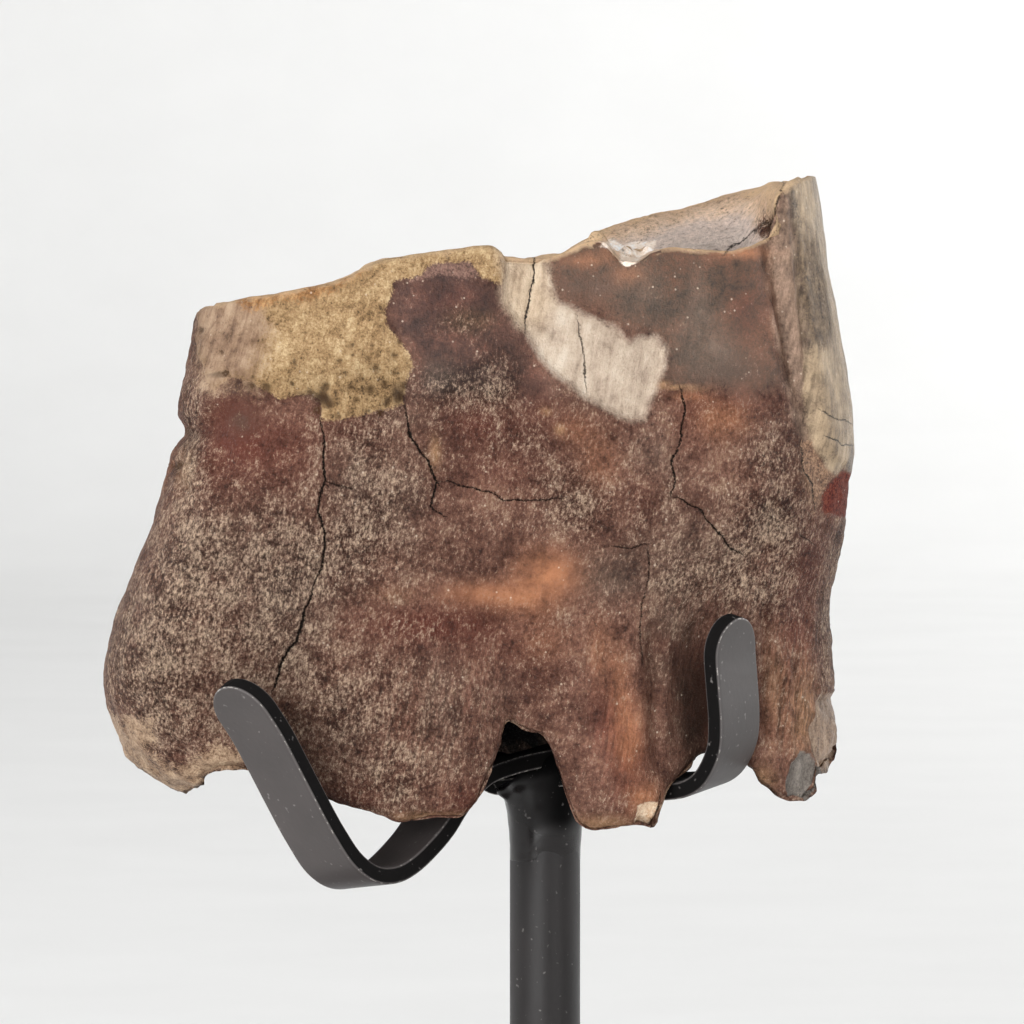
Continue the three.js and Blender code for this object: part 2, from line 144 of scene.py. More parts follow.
# Strip centre lines in their own upright planes: (reach from the post's axis, height above the crossing).
STRIPS = {
    "long_strip": {
        "heading": math.radians(225),
        "line": [
            (35.8, 13.6), (34.9, 11.4), (33.4, 8.3), (31.4, 2.8), (29.7, -1.6), (28.2, -4.4), (26.3, -6.0),
            (24.0, -6.5), (21.8, -6.2), (18.7, -5.0), (16.6, -3.9), (14.6, -2.5), (12.4, -1.2), (10.4, -0.5),
            (7, -0.3), (3, -0.5), (0, -0.6), (-6, -0.7), (-12, -1.1), (-20, -1.8), (-26, -2), (-29.4, -1.2),
            (-31.2, 1), (-31.9, 4), (-32.4, 8), (-33.0, 12),
        ],
    },
    "cross_strip": {
        "heading": math.radians(-35),
        "line": [
            (23.1, 9.3), (22.7, 8.4), (22, 6), (21.6, 3.6), (21.1, 0.6), (20.4, -1.7), (19.3, -3.3),
            (17.9, -4.5), (16.3, -5.05), (14.4, -5.1), (11, -4.7), (7.5, -3.6), (4.2, -2.6), (0, -2.5),
            (-4.2, -2.35), (-5.6, -1.5), (-7.2, -0.7), (-9.5, -0.2), (-13, 0), (-17, 0), (-20.2, 0.7),
            (-22, 3), (-22.8, 6.2), (-23.4, 10.4),
        ],
    },
}
PATH_STEPS = 40  # between two points of a strip's line
TIP_STATIONS = 13  # across half of a bar's rounded end
# A bar's section: shares of the way from its middle to its rounded edge, and stations round that edge.
FACE_SHARES, EDGE_STATIONS = (0, 0.45, 0.9), 5
TANGENT_REACH = 0.05  # how far to either side the line's direction is taken
BAR_UNEVENNESS = {"size": 4, "amount": 0.04, "seed": 7}
BAR_WEAR = {"edge": 1.05, "tip": 0.2, "crossing": 0.3}  # how much of the edges is knocked, by place
BAR_PAINTED_SHADE = {"side": 0.94, "crossing": 0.9}  # how much shade is painted on the narrow sides and at the crossing

ROD_SHORT_OF_TOP = 1.5  # how far below the braze's top the rod ends
ROD_RINGS, ROD_COLUMNS = 60, 64
ROD_BREAK = 0.3  # how far its sharp ends are broken

# The braze: lengths along the post, the sheath's thickness, and the direction and half angle of its rise
# in front. Its lumps are (angle in degrees from +X, height, half angle, half height, outwards).
BRAZE = {"length": 8, "above": 0.6, "sheath": 0.4, "sunk": 1.2, "rise": 2.5, "rise_angle": (-92, 40)}
# Shares of its height between which the sheath thickens, the foot closes and the top leans with the strips.
BRAZE_BLENDS = {"sheath": (0.15, 0.9), "foot": (-0.02, 0.1), "leaning": (0.3, 1)}
BRAZE_CLOSING = 20  # the power of its rounding below and above
BRAZE_RINGS, BRAZE_COLUMNS = 70, 96
BRAZE_RIPPLE, RIPPLE_SEED = [(2.6, 0.12), (1.2, 0.04)], 11
BRAZE_LUMPS = [
    (-90, 64.4, 30, 1.8, 1.7), (180, 63.4, 34, 0.8, 0.9), (-158, 62.9, 10, 0.8, 0.5),
    (-132, 63.8, 14, 0.9, 0.5), (-66, 60.6, 22, 2.6, 0.45), (-100, 61.8, 12, 1.0, 0.35),
    (-30, 62.8, 30, 1.2, 0.5), (20, 62.8, 50, 1.4, 0.6), (90, 62.6, 60, 1.6, 1.0),
]
# Where shade is painted on the post and the braze: direction and half angle, and heights where it starts.
POST_PAINTED_SHADE = {"angle": (-66, 36), "heights": (58, 60.2), "top": (62.6, 64.6)}

# The plate's mesh: points round a corner, stations over its edge, and shares of the size of the two rings
# on a flat face.
PER_CORNER, BEND_STATIONS, FACE_RINGS = 10, 6, (0.4, 0.97)
# The floor's mesh: rings on the flat part and over the bend, columns, and the first ring's share of it.
FLOOR_RINGS, FLOOR_BEND, FLOOR_COLUMNS, FLOOR_MIDDLE = 12, 24, 128, 0.02


# ---- marks on the tooth's front, in frame steps ----------------------------------------------------------

# Where the surface is torn: x, height, half width and half height in the tooth's own frame, and how much.
TORN = [
    (-27, 35, 4, 5, 1.0), (-34, 6, 8, 4, 1.0), (26, -3, 3, 5, 0.8), (21, -6, 4, 3, 0.7), (8, -7, 3, 1.5, 0.5),
    (-24, 45, 4, 3, 0.4),
]

# Outlines of the patches where one of the tooth's layers shows.
PATCHES = {
    "cream": [
        (196, 296), (235, 292), (300, 278), (345, 262), (385, 246), (440, 240), (500, 238), (507, 262),
        (501, 286), (480, 277), (472, 262), (435, 262), (420, 275), (395, 280), (388, 310), (390, 325),
        (400, 341), (411, 365), (405, 382), (404, 406), (370, 415), (345, 419), (322, 420), (320, 402),
        (310, 395), (295, 398), (280, 400), (265, 392), (252, 385), (230, 377), (219, 382), (212, 388),
        (204, 372), (190, 340),
    ],
    "soiled": [
        (188, 300), (240, 290), (262, 300), (272, 330), (262, 360), (255, 394), (230, 380), (212, 388),
        (200, 372), (184, 340),
    ],
    "rusty": [
        (235, 294), (300, 278), (345, 262), (374, 254), (352, 282), (322, 296), (290, 302), (250, 306),
    ],
    "maroon": [
        (394, 280), (420, 275), (435, 262), (472, 261), (481, 277), (502, 285), (504, 300), (514, 320),
        (526, 340), (545, 368), (552, 392), (530, 400), (495, 385), (450, 392), (405, 405), (405, 382),
        (411, 365), (400, 341), (390, 325), (388, 310),
    ],
    "mauve": [
        (396, 279), (420, 266), (434, 258), (474, 258), (481, 275), (470, 278), (440, 274), (418, 280),
    ],
    "window": [
        (504, 246), (537, 244), (547, 282), (558, 303), (583, 312), (602, 320), (619, 333), (630, 343),
        (642, 337), (657, 337), (668, 348), (667, 361), (660, 379), (652, 399), (645, 420), (633, 421),
        (617, 415), (602, 406), (586, 397), (569, 383), (552, 370), (538, 352), (525, 333), (513, 316),
        (505, 296), (503, 275),
    ],
    "ivory": [
        (500, 244), (540, 242), (546, 285), (552, 300), (540, 334), (520, 326), (504, 300),
    ],
    "brown": [
        (533, 244), (560, 240), (600, 232), (640, 240), (700, 244), (742, 240), (766, 236), (772, 262),
        (775, 300), (778, 345), (786, 380), (772, 394), (745, 400), (725, 393), (712, 389), (682, 388),
        (666, 378), (665, 352), (655, 336), (642, 333), (628, 338), (615, 326), (600, 313), (580, 305),
        (560, 298), (548, 276), (537, 258),
    ],
    "ledge": [
        (801, 441), (812, 442), (818, 454), (826, 470), (836, 477), (828, 482), (822, 492), (814, 511),
        (813, 484), (809, 478), (803, 464),
    ],
    "glaze": [
        (832, 480), (842, 472), (868, 474), (868, 522), (846, 518), (832, 516), (823, 508), (822, 494),
    ],
    "broken_end": [
        (100, 712), (116, 718), (135, 717), (151, 722), (153, 738), (146, 748), (160, 762), (185, 767),
        (205, 752), (216, 746), (240, 752), (244, 790), (150, 810), (90, 770),
    ],
    "fold": [
        (768, 240), (776, 214), (785, 178), (800, 176), (812, 240), (816, 330), (818, 410), (826, 446),
        (812, 452), (800, 430), (790, 392), (780, 340), (774, 290),
    ],
    "side": [
        (784, 184), (788, 176), (830, 160), (870, 250), (880, 470), (852, 477), (845, 471), (834, 464),
        (823, 450), (812, 432), (807, 400), (804, 360), (802, 310), (800, 270), (796, 236), (789, 204),
    ],
    "enamel": [
        (790, 186), (800, 176), (818, 165), (880, 200), (880, 480), (846, 476), (834, 476), (822, 460),
        (814, 442), (808, 424), (804, 409), (802, 393), (802, 373), (804, 352), (815, 343), (828, 350),
        (836, 338), (845, 330), (845, 262), (830, 256), (815, 246), (803, 244), (797, 225), (792, 205),
    ],
    "smudge": [
        (812, 238), (830, 256), (838, 330), (824, 346), (806, 340), (800, 280), (798, 235),
    ],
    "curl": [
        (600, 247), (606, 241), (617, 241), (622, 246), (630, 242), (643, 240), (656, 240), (657, 249),
        (648, 253), (640, 261), (628, 269), (620, 263), (616, 252), (608, 249),
    ],
    # A hole in the crown's front right corner, painted dark as its shade.
    "cavity_painted_shade": [
        (753, 234), (761, 221), (768, 213), (777, 212), (779, 224), (774, 238), (764, 240),
    ],
    "chip": [
        (634, 834), (636, 818), (638, 808), (650, 806), (660, 807), (664, 815), (658, 836),
    ],
    "tan_chip": [
        (812, 725), (815, 705), (822, 694), (838, 691), (850, 700), (850, 774), (820, 774), (816, 752),
    ],
    "grey_chip": [
        (792, 764), (802, 749), (814, 753), (819, 770), (817, 790), (806, 800), (790, 800), (787, 782),
    ],
}

# Patches that also cover what faces up or sideways, and how far backwards it may face.
WRAPPED = {"glaze": 0.15, "curl": 0.3, "cavity_painted_shade": 0.3, "tan_chip": 0.15, "grey_chip": 0.15, "broken_end": 0.15}

# Cracks: their half width, in millimetres, and their line.
CRACKS = [
    (0.17, [(321, 420), (324, 450), (324, 481), (318, 511), (325, 531), (322, 564), (313, 589)]),
    (0.23, [(313, 589), (304, 617), (297, 640), (282, 659), (275, 690)]),
    (0.08, [(325, 481), (335, 484), (353, 490)]),
    (0.16, [(405, 406), (410, 436), (428, 460), (437, 484), (431, 507), (444, 517)]),
    (0.09, [(437, 484), (449, 481), (474, 489), (495, 492), (503, 501), (520, 500), (541, 501),
    (563, 498)]),
    (0.13, [(681, 388), (685, 408), (682, 437), (672, 463), (675, 481), (670, 496)]),
    (0.14, [(676, 496), (701, 509), (707, 521), (720, 535), (732, 550), (743, 555)]),
    (0.08, [(613, 546), (629, 548), (649, 543)]),
    (0.06, [(649, 543), (649, 561), (648, 580), (641, 604), (640, 629), (643, 666)]),
    (0.09, [(798, 535), (813, 544)]),
    (0.12, [(534, 246), (533, 280), (527, 308), (525, 332)]),
    (0.06, [(577, 316), (584, 355), (586, 388)]),
    (0.09, [(725, 253), (736, 244), (746, 237), (755, 229), (764, 221)]),
    (0.07, [(771, 219), (775, 206), (779, 194), (784, 184)]),
    (0.06, [(820, 411), (832, 419), (850, 424)]),
    (0.07, [(824, 437), (838, 445), (850, 446)]),
    (0.08, [(801, 445), (803, 464), (809, 478), (814, 484), (814, 511)]),
]

# Soft-edged tints: (x, y, half width, half height, strength).
TINTS = {
    "red": [
        (232, 420, 24, 24, 1.3), (262, 440, 46, 30, 0.8), (205, 470, 34, 34, 0.5), (350, 430, 40, 14, 0.4),
        (480, 425, 36, 18, 0.6), (550, 410, 34, 26, 0.5), (630, 770, 18, 50, 0.9), (700, 690, 26, 50, 1.0),
        (838, 494, 14, 18, 1.3), (800, 640, 24, 50, 0.7), (785, 720, 30, 50, 0.4), (468, 800, 30, 16, 0.7),
        (400, 622, 70, 20, 0.5), (500, 650, 60, 50, 0.4), (770, 545, 50, 50, 0.3), (280, 470, 60, 30, 0.3),
        (610, 720, 20, 40, 0.7), (440, 625, 60, 20, 0.5), (730, 400, 40, 16, 0.5), (500, 470, 50, 30, 0.4),
        (810, 560, 16, 40, 0.6), (690, 420, 16, 26, 0.4), (665, 645, 14, 12, 0.7), (745, 315, 18, 30, 0.4),
        (640, 500, 20, 30, 0.3), (350, 800, 30, 12, 0.5), (620, 340, 16, 12, 0.3), (450, 300, 40, 20, 0.3),
    ],
    # Clear orange stains, and near the rim painted highlight where the broken edge lets light through.
    "glow": [
        (548, 574, 30, 22, 1.15), (395, 594, 22, 9, 0.35), (480, 594, 40, 12, 0.7), (525, 600, 30, 16, 0.7),
        (600, 650, 12, 30, 0.5), (628, 735, 14, 34, 0.9), (645, 800, 14, 16, 1.2), (722, 420, 24, 18, 0.8),
        (580, 262, 18, 7, 0.6), (628, 276, 16, 11, 0.7), (744, 253, 24, 6, 1.1), (600, 460, 18, 26, 0.5),
        (600, 256, 14, 7, 0.6), (620, 675, 10, 30, 0.5), (575, 430, 16, 16, 0.4), (690, 396, 18, 5, 0.7),
        (545, 640, 26, 20, 0.3),
    ],
    "grain": [
        (190, 560, 60, 70, 0.9), (150, 660, 50, 60, 1.0), (290, 560, 50, 70, 0.8), (240, 650, 60, 60, 0.7),
        (370, 550, 50, 44, 0.7), (380, 480, 40, 40, 0.6), (360, 440, 40, 24, 0.5), (340, 700, 50, 60, 0.8),
        (420, 720, 40, 60, 0.5), (390, 780, 60, 30, 0.6), (575, 510, 30, 26, 0.8), (520, 440, 24, 18, 0.4),
        (768, 520, 44, 40, 1.1), (720, 570, 50, 30, 0.6), (770, 590, 40, 30, 0.7), (770, 455, 26, 24, 0.6),
        (190, 420, 18, 90, 0.9), (465, 322, 26, 15, 1.3), (450, 384, 40, 18, 1.3), (500, 378, 26, 26, 1.3),
        (680, 590, 30, 30, 0.5), (560, 480, 30, 20, 0.4), (548, 574, 34, 24, -1), (480, 594, 40, 12, -0.6),
        (232, 425, 30, 26, -0.8), (375, 385, 34, 30, 0.9), (300, 380, 40, 14, 0.6), (610, 730, 40, 60, -0.5),
        (700, 690, 30, 60, -0.6), (495, 365, 20, 24, 0.4), (640, 500, 50, 50, 0.2), (180, 730, 60, 40, 0.7),
    ],
    "grey": [
        (437, 378, 16, 18, 0.8), (350, 470, 26, 34, 0.6), (610, 578, 34, 22, 0.8), (655, 455, 22, 24, 0.6),
        (705, 550, 60, 40, 0.5), (150, 620, 50, 60, 0.5), (290, 600, 50, 50, 0.5), (720, 355, 34, 26, 0.8),
        (636, 292, 26, 30, 0.7), (700, 330, 30, 36, 0.6), (400, 500, 24, 60, 0.4), (230, 560, 60, 60, 0.4),
        (440, 700, 20, 60, 0.4), (330, 740, 40, 40, 0.4), (500, 690, 24, 30, 0.3), (675, 620, 24, 40, 0.5),
        (800, 540, 20, 20, 0.3), (400, 420, 30, 12, 0.4), (700, 300, 12, 40, 0.5), (595, 390, 20, 12, 0.6),
        (560, 380, 14, 16, 0.4),
    ],
    # Grey-brown stains, and painted shade in the grooves beside the strips, where their shadow falls.
    "dusk": [
        (690, 700, 20, 70, 1.4), (590, 286, 40, 18, 1.1), (240, 422, 26, 20, 1.1), (728, 372, 40, 15, 1.2),
        (400, 597, 30, 12, 0.5), (290, 665, 30, 30, 0.5), (575, 398, 36, 16, 0.5), (690, 300, 10, 40, 0.5),
        (805, 440, 10, 40, 0.7), (240, 386, 26, 10, 1.0), (118, 640, 15, 60, 1.0), (440, 372, 20, 16, 0.4),
        (660, 640, 14, 60, 0.6), (300, 740, 20, 50, 0.5), (640, 545, 24, 16, 0.4), (400, 370, 10, 30, 0.4),
        (800, 330, 8, 70, 0.4), (190, 445, 10, 30, 0.7), (240, 700, 40, 30, 0.5),
    ],
    # Dirt, and painted shade in the groove beside the right strip.
    "dirt_and_shade": [
        (704, 690, 9, 60, 1.3), (688, 705, 13, 60, 1.1), (655, 690, 4, 60, 0.6), (300, 394, 14, 5, 0.9),
        (330, 402, 12, 8, 1.0), (396, 392, 8, 12, 0.9), (376, 370, 7, 7, 0.7), (715, 560, 8, 30, 0.3),
        (806, 290, 6, 50, 0.5), (818, 334, 9, 8, 0.7), (320, 399, 8, 6, 0.8), (352, 410, 10, 4, 0.5),
        (400, 398, 8, 10, 0.8), (222, 374, 12, 4, 0.8), (212, 400, 5, 20, 0.5), (530, 395, 26, 5, 0.3),
    ],
    "fibrous": [
        (795, 690, 40, 80, 1.2), (690, 640, 30, 60, 0.7), (610, 720, 40, 80, 0.7), (410, 730, 60, 90, 0.9),
        (740, 600, 60, 40, 0.6), (280, 560, 60, 60, 0.4), (490, 700, 30, 50, 0.6), (190, 400, 16, 90, 0.5),
    ],
    "pale": [
        (430, 818, 40, 5, 0.8), (600, 825, 40, 8, 0.6), (764, 777, 12, 12, 0.6), (686, 388, 20, 1.6, 1.4),
        (662, 384, 8, 3, 0.8), (812, 470, 8, 26, 0.5), (806, 715, 16, 50, 0.5), (775, 690, 10, 50, 0.3),
        (180, 330, 14, 40, 0.4), (183, 470, 10, 20, 0.5), (435, 452, 5, 14, 0.7), (560, 430, 5, 5, 0.8),
        (546, 412, 5, 4, 0.6), (470, 320, 20, 10, 0.3),
    ],
}

# Pits: (x, y, radius, depth in millimetres), places and radius in frame steps.
PITS = [
    (322, 396, 7, 0.9), (371, 389, 4.5, 0.7), (351, 387, 3, 0.5), (376, 367, 4, 0.5), (395, 355, 4, 0.5),
    (396, 372, 4, 0.5), (340, 361, 3.5, 0.4), (400, 397, 4.5, 0.6), (349, 414, 2.5, 0.4), (367, 411, 3, 0.4),
    (265, 388, 6, 0.6), (225, 373, 4.5, 0.7), (202, 330, 3, 0.5), (173, 467, 5, 1.0), (185, 432, 5, 0.8),
    (329, 405, 4, 0.6), (310, 392, 4, 0.4), (388, 400, 3, 0.4), (512, 719, 3, 0.5), (769, 227, 5.5, 1.2),
    (765, 222, 4, 0.8), (293, 383, 3, 0.4), (625, 251, 3, 0.8), (385, 383, 3.5, 0.4), (362, 378, 3, 0.4),
    (357, 400, 3.5, 0.4), (386, 404, 3.5, 0.4), (317, 410, 5, 0.5), (326, 386, 4.5, 0.5),
    (250, 386, 4.5, 0.4), (296, 362, 3, 0.3), (352, 345, 3, 0.3), (399, 342, 3.5, 0.3), (345, 373, 3.5, 0.4),
    (380, 413, 4, 0.4), (338, 416, 4, 0.4), (404, 385, 4.5, 0.4), (368, 358, 3, 0.3), (222, 352, 3, 0.3),
]

# Ridges and grooves: half width and amount outwards in millimetres, and their line.
FOLDS = [
    (0.9, -0.25, [(776, 190), (777, 250), (780, 300), (785, 345), (792, 390)]),
    (0.35, 0.35, [(784, 178), (787, 240), (791, 300), (796, 350), (803, 400)]),
    (0.3, 0.3, [(770, 250), (772, 300), (776, 350)]),
    (0.3, -0.35, [(797, 240), (801, 300), (804, 350), (810, 400), (818, 440)]),
    (0.6, -0.6, [(651, 610), (652, 660), (654, 720), (658, 780)]),
    (0.9, 0.4, [(640, 640), (642, 700), (648, 760)]),
    (0.5, 0.35, [(668, 630), (668, 690), (664, 750)]),
    (0.35, -0.35, [(766, 600), (765, 680), (768, 750)]),
    (0.3, -0.3, [(793, 640), (797, 700), (800, 755)]),
    (0.3, -0.25, [(779, 660), (783, 720), (785, 770)]),
    (0.5, 0.5, [(196, 320), (186, 370), (180, 410)]),
    (1.2, -0.6, [(216, 400), (212, 440), (222, 480)]),
    (0.25, 0.25, [(420, 745), (424, 700), (436, 664)]),
    (0.25, -0.2, [(428, 750), (433, 700), (444, 668)]),
]

# What goes with the marks. Noise layers are (size, strength).
RAGGED = [(4, 5.0), (1.3, 2.2)]  # how the patches' outlines stray, strengths in frame steps
JITTER = [(1.6, 3.0), (0.7, 1.6)]  # how the cracks stray, strengths in frame steps
LUMPS = [(7, 0.35), (3, 0.28)]
GRAINS = [(1.4, 0.2), (0.75, 0.13)]
BROKEN_EDGES = [(2.2, 0.55), (1.1, 0.4)]
CRACK_DEPTH, CRACK_HALF_WIDTH = 0.16, 0.3
CRACK_OPENING = 0.5  # how much of a crack's half width is open
CRACK_TIP, CRACK_TAPER = 0.35, 4  # a crack's share of that at its ends, and how fast it opens from them
CRACK_REACH, CRACK_CLOSING = 0.5, 0.6  # the distance beyond which a crack closes, and how fast
# Added to the seed, so that no two noises are alike.
SEEDS = {
    "ragged": (0, 20), "side": 40, "scatter": 60, "jitter": (80, 90), "relief": 100, "lumps": 0,
    "grains": 5, "broken_edges": 10,
}
FRONT_FACING = (0.05, 0.3)  # how far the surface faces the front where marks start and where they are full
OUTSIDE = -9  # the depth in a patch of a point that it can't reach
TURNED_AWAY = 4  # how much depth a patch loses where the surface turns away from the front
# The right side's layer: the least height, x and share of facing right, how fast it deepens beyond each,
# the noise of its border, and the width of the bare border round its enamel, level and where noise is high.
ENAMEL_SIDE = {
    "height": 19, "x": 31.5, "facing": 0.55, "x_gain": 2, "facing_gain": 10, "ragged": [(14, 1.0), (5, 0.5)],
    "stray": 3, "border": 1, "border_stray": 4,
}
DENSE_LAYERS, DENSE_BORDER = ("maroon", "window", "brown", "side"), (-0.3, 0.5)
DAMPING = 0.7  # how much of the grains a dense layer takes away
LUMPS_LEFT = 0.4  # the share of the lumps that damping doesn't reach
GRAIN_SHARES = (0.6, 0.7)  # of the grains, everywhere and where the surface is weathered
STEP_BORDER = (-0.15, 0.45)  # depths in a patch between which its step rises
FOLD_ENDS, CURL_ENDS = (0, 0.2), (-0.2, 0.3)  # shares of a line between which it fades in
CURL_BORDER = -0.3  # beyond this depth in the curls' patch, the rim is taken as broken
VAULT_SHADE = (0, 0.8)  # heights above the foot between which shade is painted over the vault
# How far a layer stands proud of its surroundings.
LAYER_STEPS = {
    "cream": 0.3, "window": -0.5, "brown": -0.08, "side": 0.3, "chip": -0.7, "tan_chip": -0.5,
    "grey_chip": -0.6,
}
# Tints where the tooth faces away: size of the clouds, strength and level.
SCATTER = {
    "red": (9, 1.1, 0.05), "glow": (8, 1.0, -0.25), "grain": (11, 1.3, 0.45), "grey": (9, 1.0, 0.1),
    "dusk": (8, 1.0, 0.1), "dirt_and_shade": (8, 0.8, -0.2), "fibrous": (12, 0.8, 0.3), "pale": (10, 1.0, -0.2),
}


# ---- looks -----------------------------------------------------------------------------------------------

# Noise on the tooth: the axes it is stretched along, size in millimetres, layers and roughness. The finest
# is coarser than real grit, so that it shows.
STRETCH = {"lines": 0.1, "rods": 0.6}
PATTERNS = {
    "mottle": ("upright", 6, 5, 0.6),
    "blotch": ("upright", 2.2, 4, 0.65),
    "speck": ("upright", 0.5, 4, 0.75),
    "grit": ("upright", 0.2, 2, 0.7),
    "streaks": ("lines", 0.7, 5, 0.65),
    "crumbs": ("rods", 0.28, 3, 0.85),
    "fibres": ("lines", 0.4, 3, 0.7),
}
# Mixtures of the patterns, as shares of each.
MIXTURES = {
    "fine": {"grit": 0.5, "speck": 0.5},
    "cloudy": {"fine": 0.4, "blotch": 0.35, "mottle": 0.25},
    "ridged": {"streaks": 0.45, "fine": 0.55},
    "grained": {"fine": 0.5, "blotch": 0.3, "streaks": 0.2},
    "veined": {"streaks": 0.4, "blotch": 0.35, "fine": 0.25},
    "silky": {"streaks": 0.3, "blotch": 0.3, "mottle": 0.25, "fine": 0.15},
    "ground": {"speck": 0.4, "blotch": 0.35, "mottle": 0.25},
}
CEMENTUM_GROUND = ["#3e2925", "#583e35", "#6d5046", "#806556"]
GRINDING_FACE = ["#bd9c7f", "#d9bca2", "#ccb9ad", "#c4b5ab", "#84736a", "#46362f"]
WARMTH = (1.03, 0.95, 0.88)
# Painted highlight along the rim, and the colour of the painted glints.
PAINTED_RIM_HIGHLIGHT, PAINTED_GLINT = "#e2c19a", "#d8c6b2"
# Painted shade for the vault, and the dark colours of pits and cracks.
VAULT_PAINTED_SHADE, PIT_DARK, CRACK_DARK = "#0f0b0a", "#46301c", "#100803"
# How the tooth's layers look, in the order they lie over each other: softness and fray of the edge in
# millimetres, roughness, the pattern that picks the colour, and its colours from low to high.
SMOOTH_LAYERS = {
    "maroon": (1.6, 3.0, 0.36, "cloudy", ["#33211c", "#493129", "#644338"]),
    "mauve": (0.3, 1.0, 0.4, "fine", ["#5c453d", "#8d7066"]),
    "brown": (1.4, 5.0, 0.34, "cloudy", ["#372d25", "#4e3d31", "#604434", "#6d4c3c"]),
    "fold": (0.8, 2.0, 0.42, "veined", ["#54453b", "#816d5f", "#a68f7f"]),
}
CRISP_LAYERS = {
    "side": (0.4, 0.8, 0.4, "veined", ["#43372e", "#776655", "#a2907c"]),
    "enamel": (0.4, 0.8, 0.36, "veined", ["#77644f", "#a18b70", "#bea688"]),
    "smudge": (0.8, 4.0, 0.5, "ridged", ["#40342a", "#6f5d4b", "#917d66"]),
    "ledge": (0.1, 0.8, 0.5, "fine", ["#5b4336", "#886852", "#ac8b70"]),
    "glaze": (0.2, 0.8, 0.6, "fine", ["#4a1d14", "#66291d", "#834434"]),
    "cream": (0.14, 0.8, 0.43, "grained", ["#6a5134", "#967752", "#b3956d", "#cfb58d"]),
    "soiled": (1.2, 4.0, 0.5, "silky", ["#5f4837", "#876b55", "#a2876e", "#b99f84"]),
    "rusty": (0.5, 3.0, 0.6, "ridged", ["#5b3824", "#946a44", "#bd9468"]),
    "window": (0.5, 0.6, 0.28, "silky", ["#8d7a69", "#b29e8b", "#c5b29e", "#d3c4b2"]),
    "ivory": (1.0, 1.0, 0.3, "silky", ["#9d866e", "#c6af95", "#d9c5ab"]),
    "curl": (0.1, 0.3, 0.3, "silky", ["#d9bda2", "#fbe9d8", "#ffffff"]),
    # The hole's dark colours are painted shade.
    "cavity_painted_shade": (0.2, 1.5, 0.7, "fine", ["#1d1310", "#4b2f25", "#7d5a49"]),
    "broken_end": (0.5, 3.0, 0.45, "grained", ["#5e4637", "#8d7058", "#b2957a", "#ccb195"]),
    "chip": (0.1, 0.4, 0.4, "fine", ["#d0a680", "#f6dfc4"]),
    "tan_chip": (0.1, 0.5, 0.4, "ridged", ["#6b5544", "#937964", "#b39a84"]),
    "grey_chip": (0.1, 0.3, 0.4, "ridged", ["#574f49", "#8c837a"]),
}

# Paints: their darker and lighter clouds, the roughness of the two, and the specular level.
PAINTS = {
    "satin_black_strip_paint": (["#393433", "#453f3e"], (0.36, 0.46), 0.5),
    "satin_black_post_paint": (["#171414", "#201c1c"], (0.4, 0.52), 0.34),
    "glossy_black_braze_paint": (["#151212", "#1d1919"], (0.2, 0.3), 0.34),
    "satin_black_plate_paint": (["#2b2929", "#363333"], (0.4, 0.5), 0.44),
}
# Where shade is painted, the paint is near black, matt and with little shine.
PAINTED_SHADE_ROUGHNESS, PAINTED_SHADE_SHEEN = 0.9, 0.06
PAINTED_SHADE_BLACK, RUBBED_AND_LIT_EDGE, LINT, BARE_STEEL = "#090909", "#666160", "#8d8886", "#b9b4ae"

# Lamps: name, place, aim and disc size in metres, and power in watts.
PART_MIDDLE = (0, 0, 0.08)
LIGHTS = [
    ("front_soft", (-0.5, -1.15, 0.3), PART_MIDDLE, 0.9, 8.9),
    ("top_soft", (0.1, -0.25, 1.2), PART_MIDDLE, 0.6, 5.0),
    ("table_glow", (-0.55, -0.9, 0.05), PART_MIDDLE, 1.1, 10.0),
    ("right_fill", (0.65, -0.85, 0.08), PART_MIDDLE, 0.5, 2.6),
    ("left_rim", (-1.0, 0.35, 0.4), PART_MIDDLE, 0.5, 4.0),
    ("right_rim", (1.0, 0.35, 0.4), PART_MIDDLE, 0.5, 4.0),
    ("backdrop_light", (0.8, 1.0, 0.8), (0.7, 1.5, 0), 0.8, 9.0),
]


# ---- numbers and noise -----------------------------------------------------------------------------------


def linear(hex_colour):
    """The linear RGBA of an sRGB hex colour."""
    share = [int(hex_colour[i : i + 2], 16) / 255 for i in (1, 3, 5)]
    return (*[s / 12.92 if s <= 0.04045 else ((s + 0.055) / 1.055) ** 2.4 for s in share], 1.0)


def smoothstep(value, low, high):
    """0 below low, 1 above high and 3t^2 - 2t^3 between."""
    t = np.clip((value - low) / (high - low), 0, 1)
    return t * t * (3 - 2 * t)


def lerp(start, end, share):
    """The value that lies that share of the way from start to end."""
    return start + (end - start) * share


def bell(offset):
    """e to the power of minus the square."""
    return np.exp(-offset * offset)


def in_mm(settings, *names):
    """Length settings in millimetres."""
    return [getattr(settings, name) / MM for name in names]


def curve_through(points):
    """A function through points that never overshoots them: cubic pieces, whose slope at a point is the
    harmonic mean of the slopes on its two sides, and zero where the line turns back."""
    x, y = np.array(points, float).T
    step = np.diff(x)
    rise = np.diff(y) / step
    slope = np.concatenate([rise[:1], np.zeros(len(x) - 2), rise[-1:]])
    going_on = rise[:-1] * rise[1:] > 0
    before, after = rise[:-1][going_on], rise[1:][going_on]
    slope[1:-1][going_on] = 2 * before * after / (before + after)

    def curve(at):
        i = np.clip(np.searchsorted(x, at) - 1, 0, len(x) - 2)
        t = np.clip((at - x[i]) / step[i], 0, 1)
        bend = (t**3 - 2 * t**2 + t) * slope[i] + (t**3 - t**2) * slope[i + 1]
        return lerp(y[i], y[i + 1], 3 * t**2 - 2 * t**3) + bend * step[i]

    return curve


HASH_PRIMES = (73856093, 19349663, 83492791, 7919)  # for a cell's three counts and the seed
HASH_SPREAD = 1274126177
LOW_32_BITS = 0xFFFFFFFF


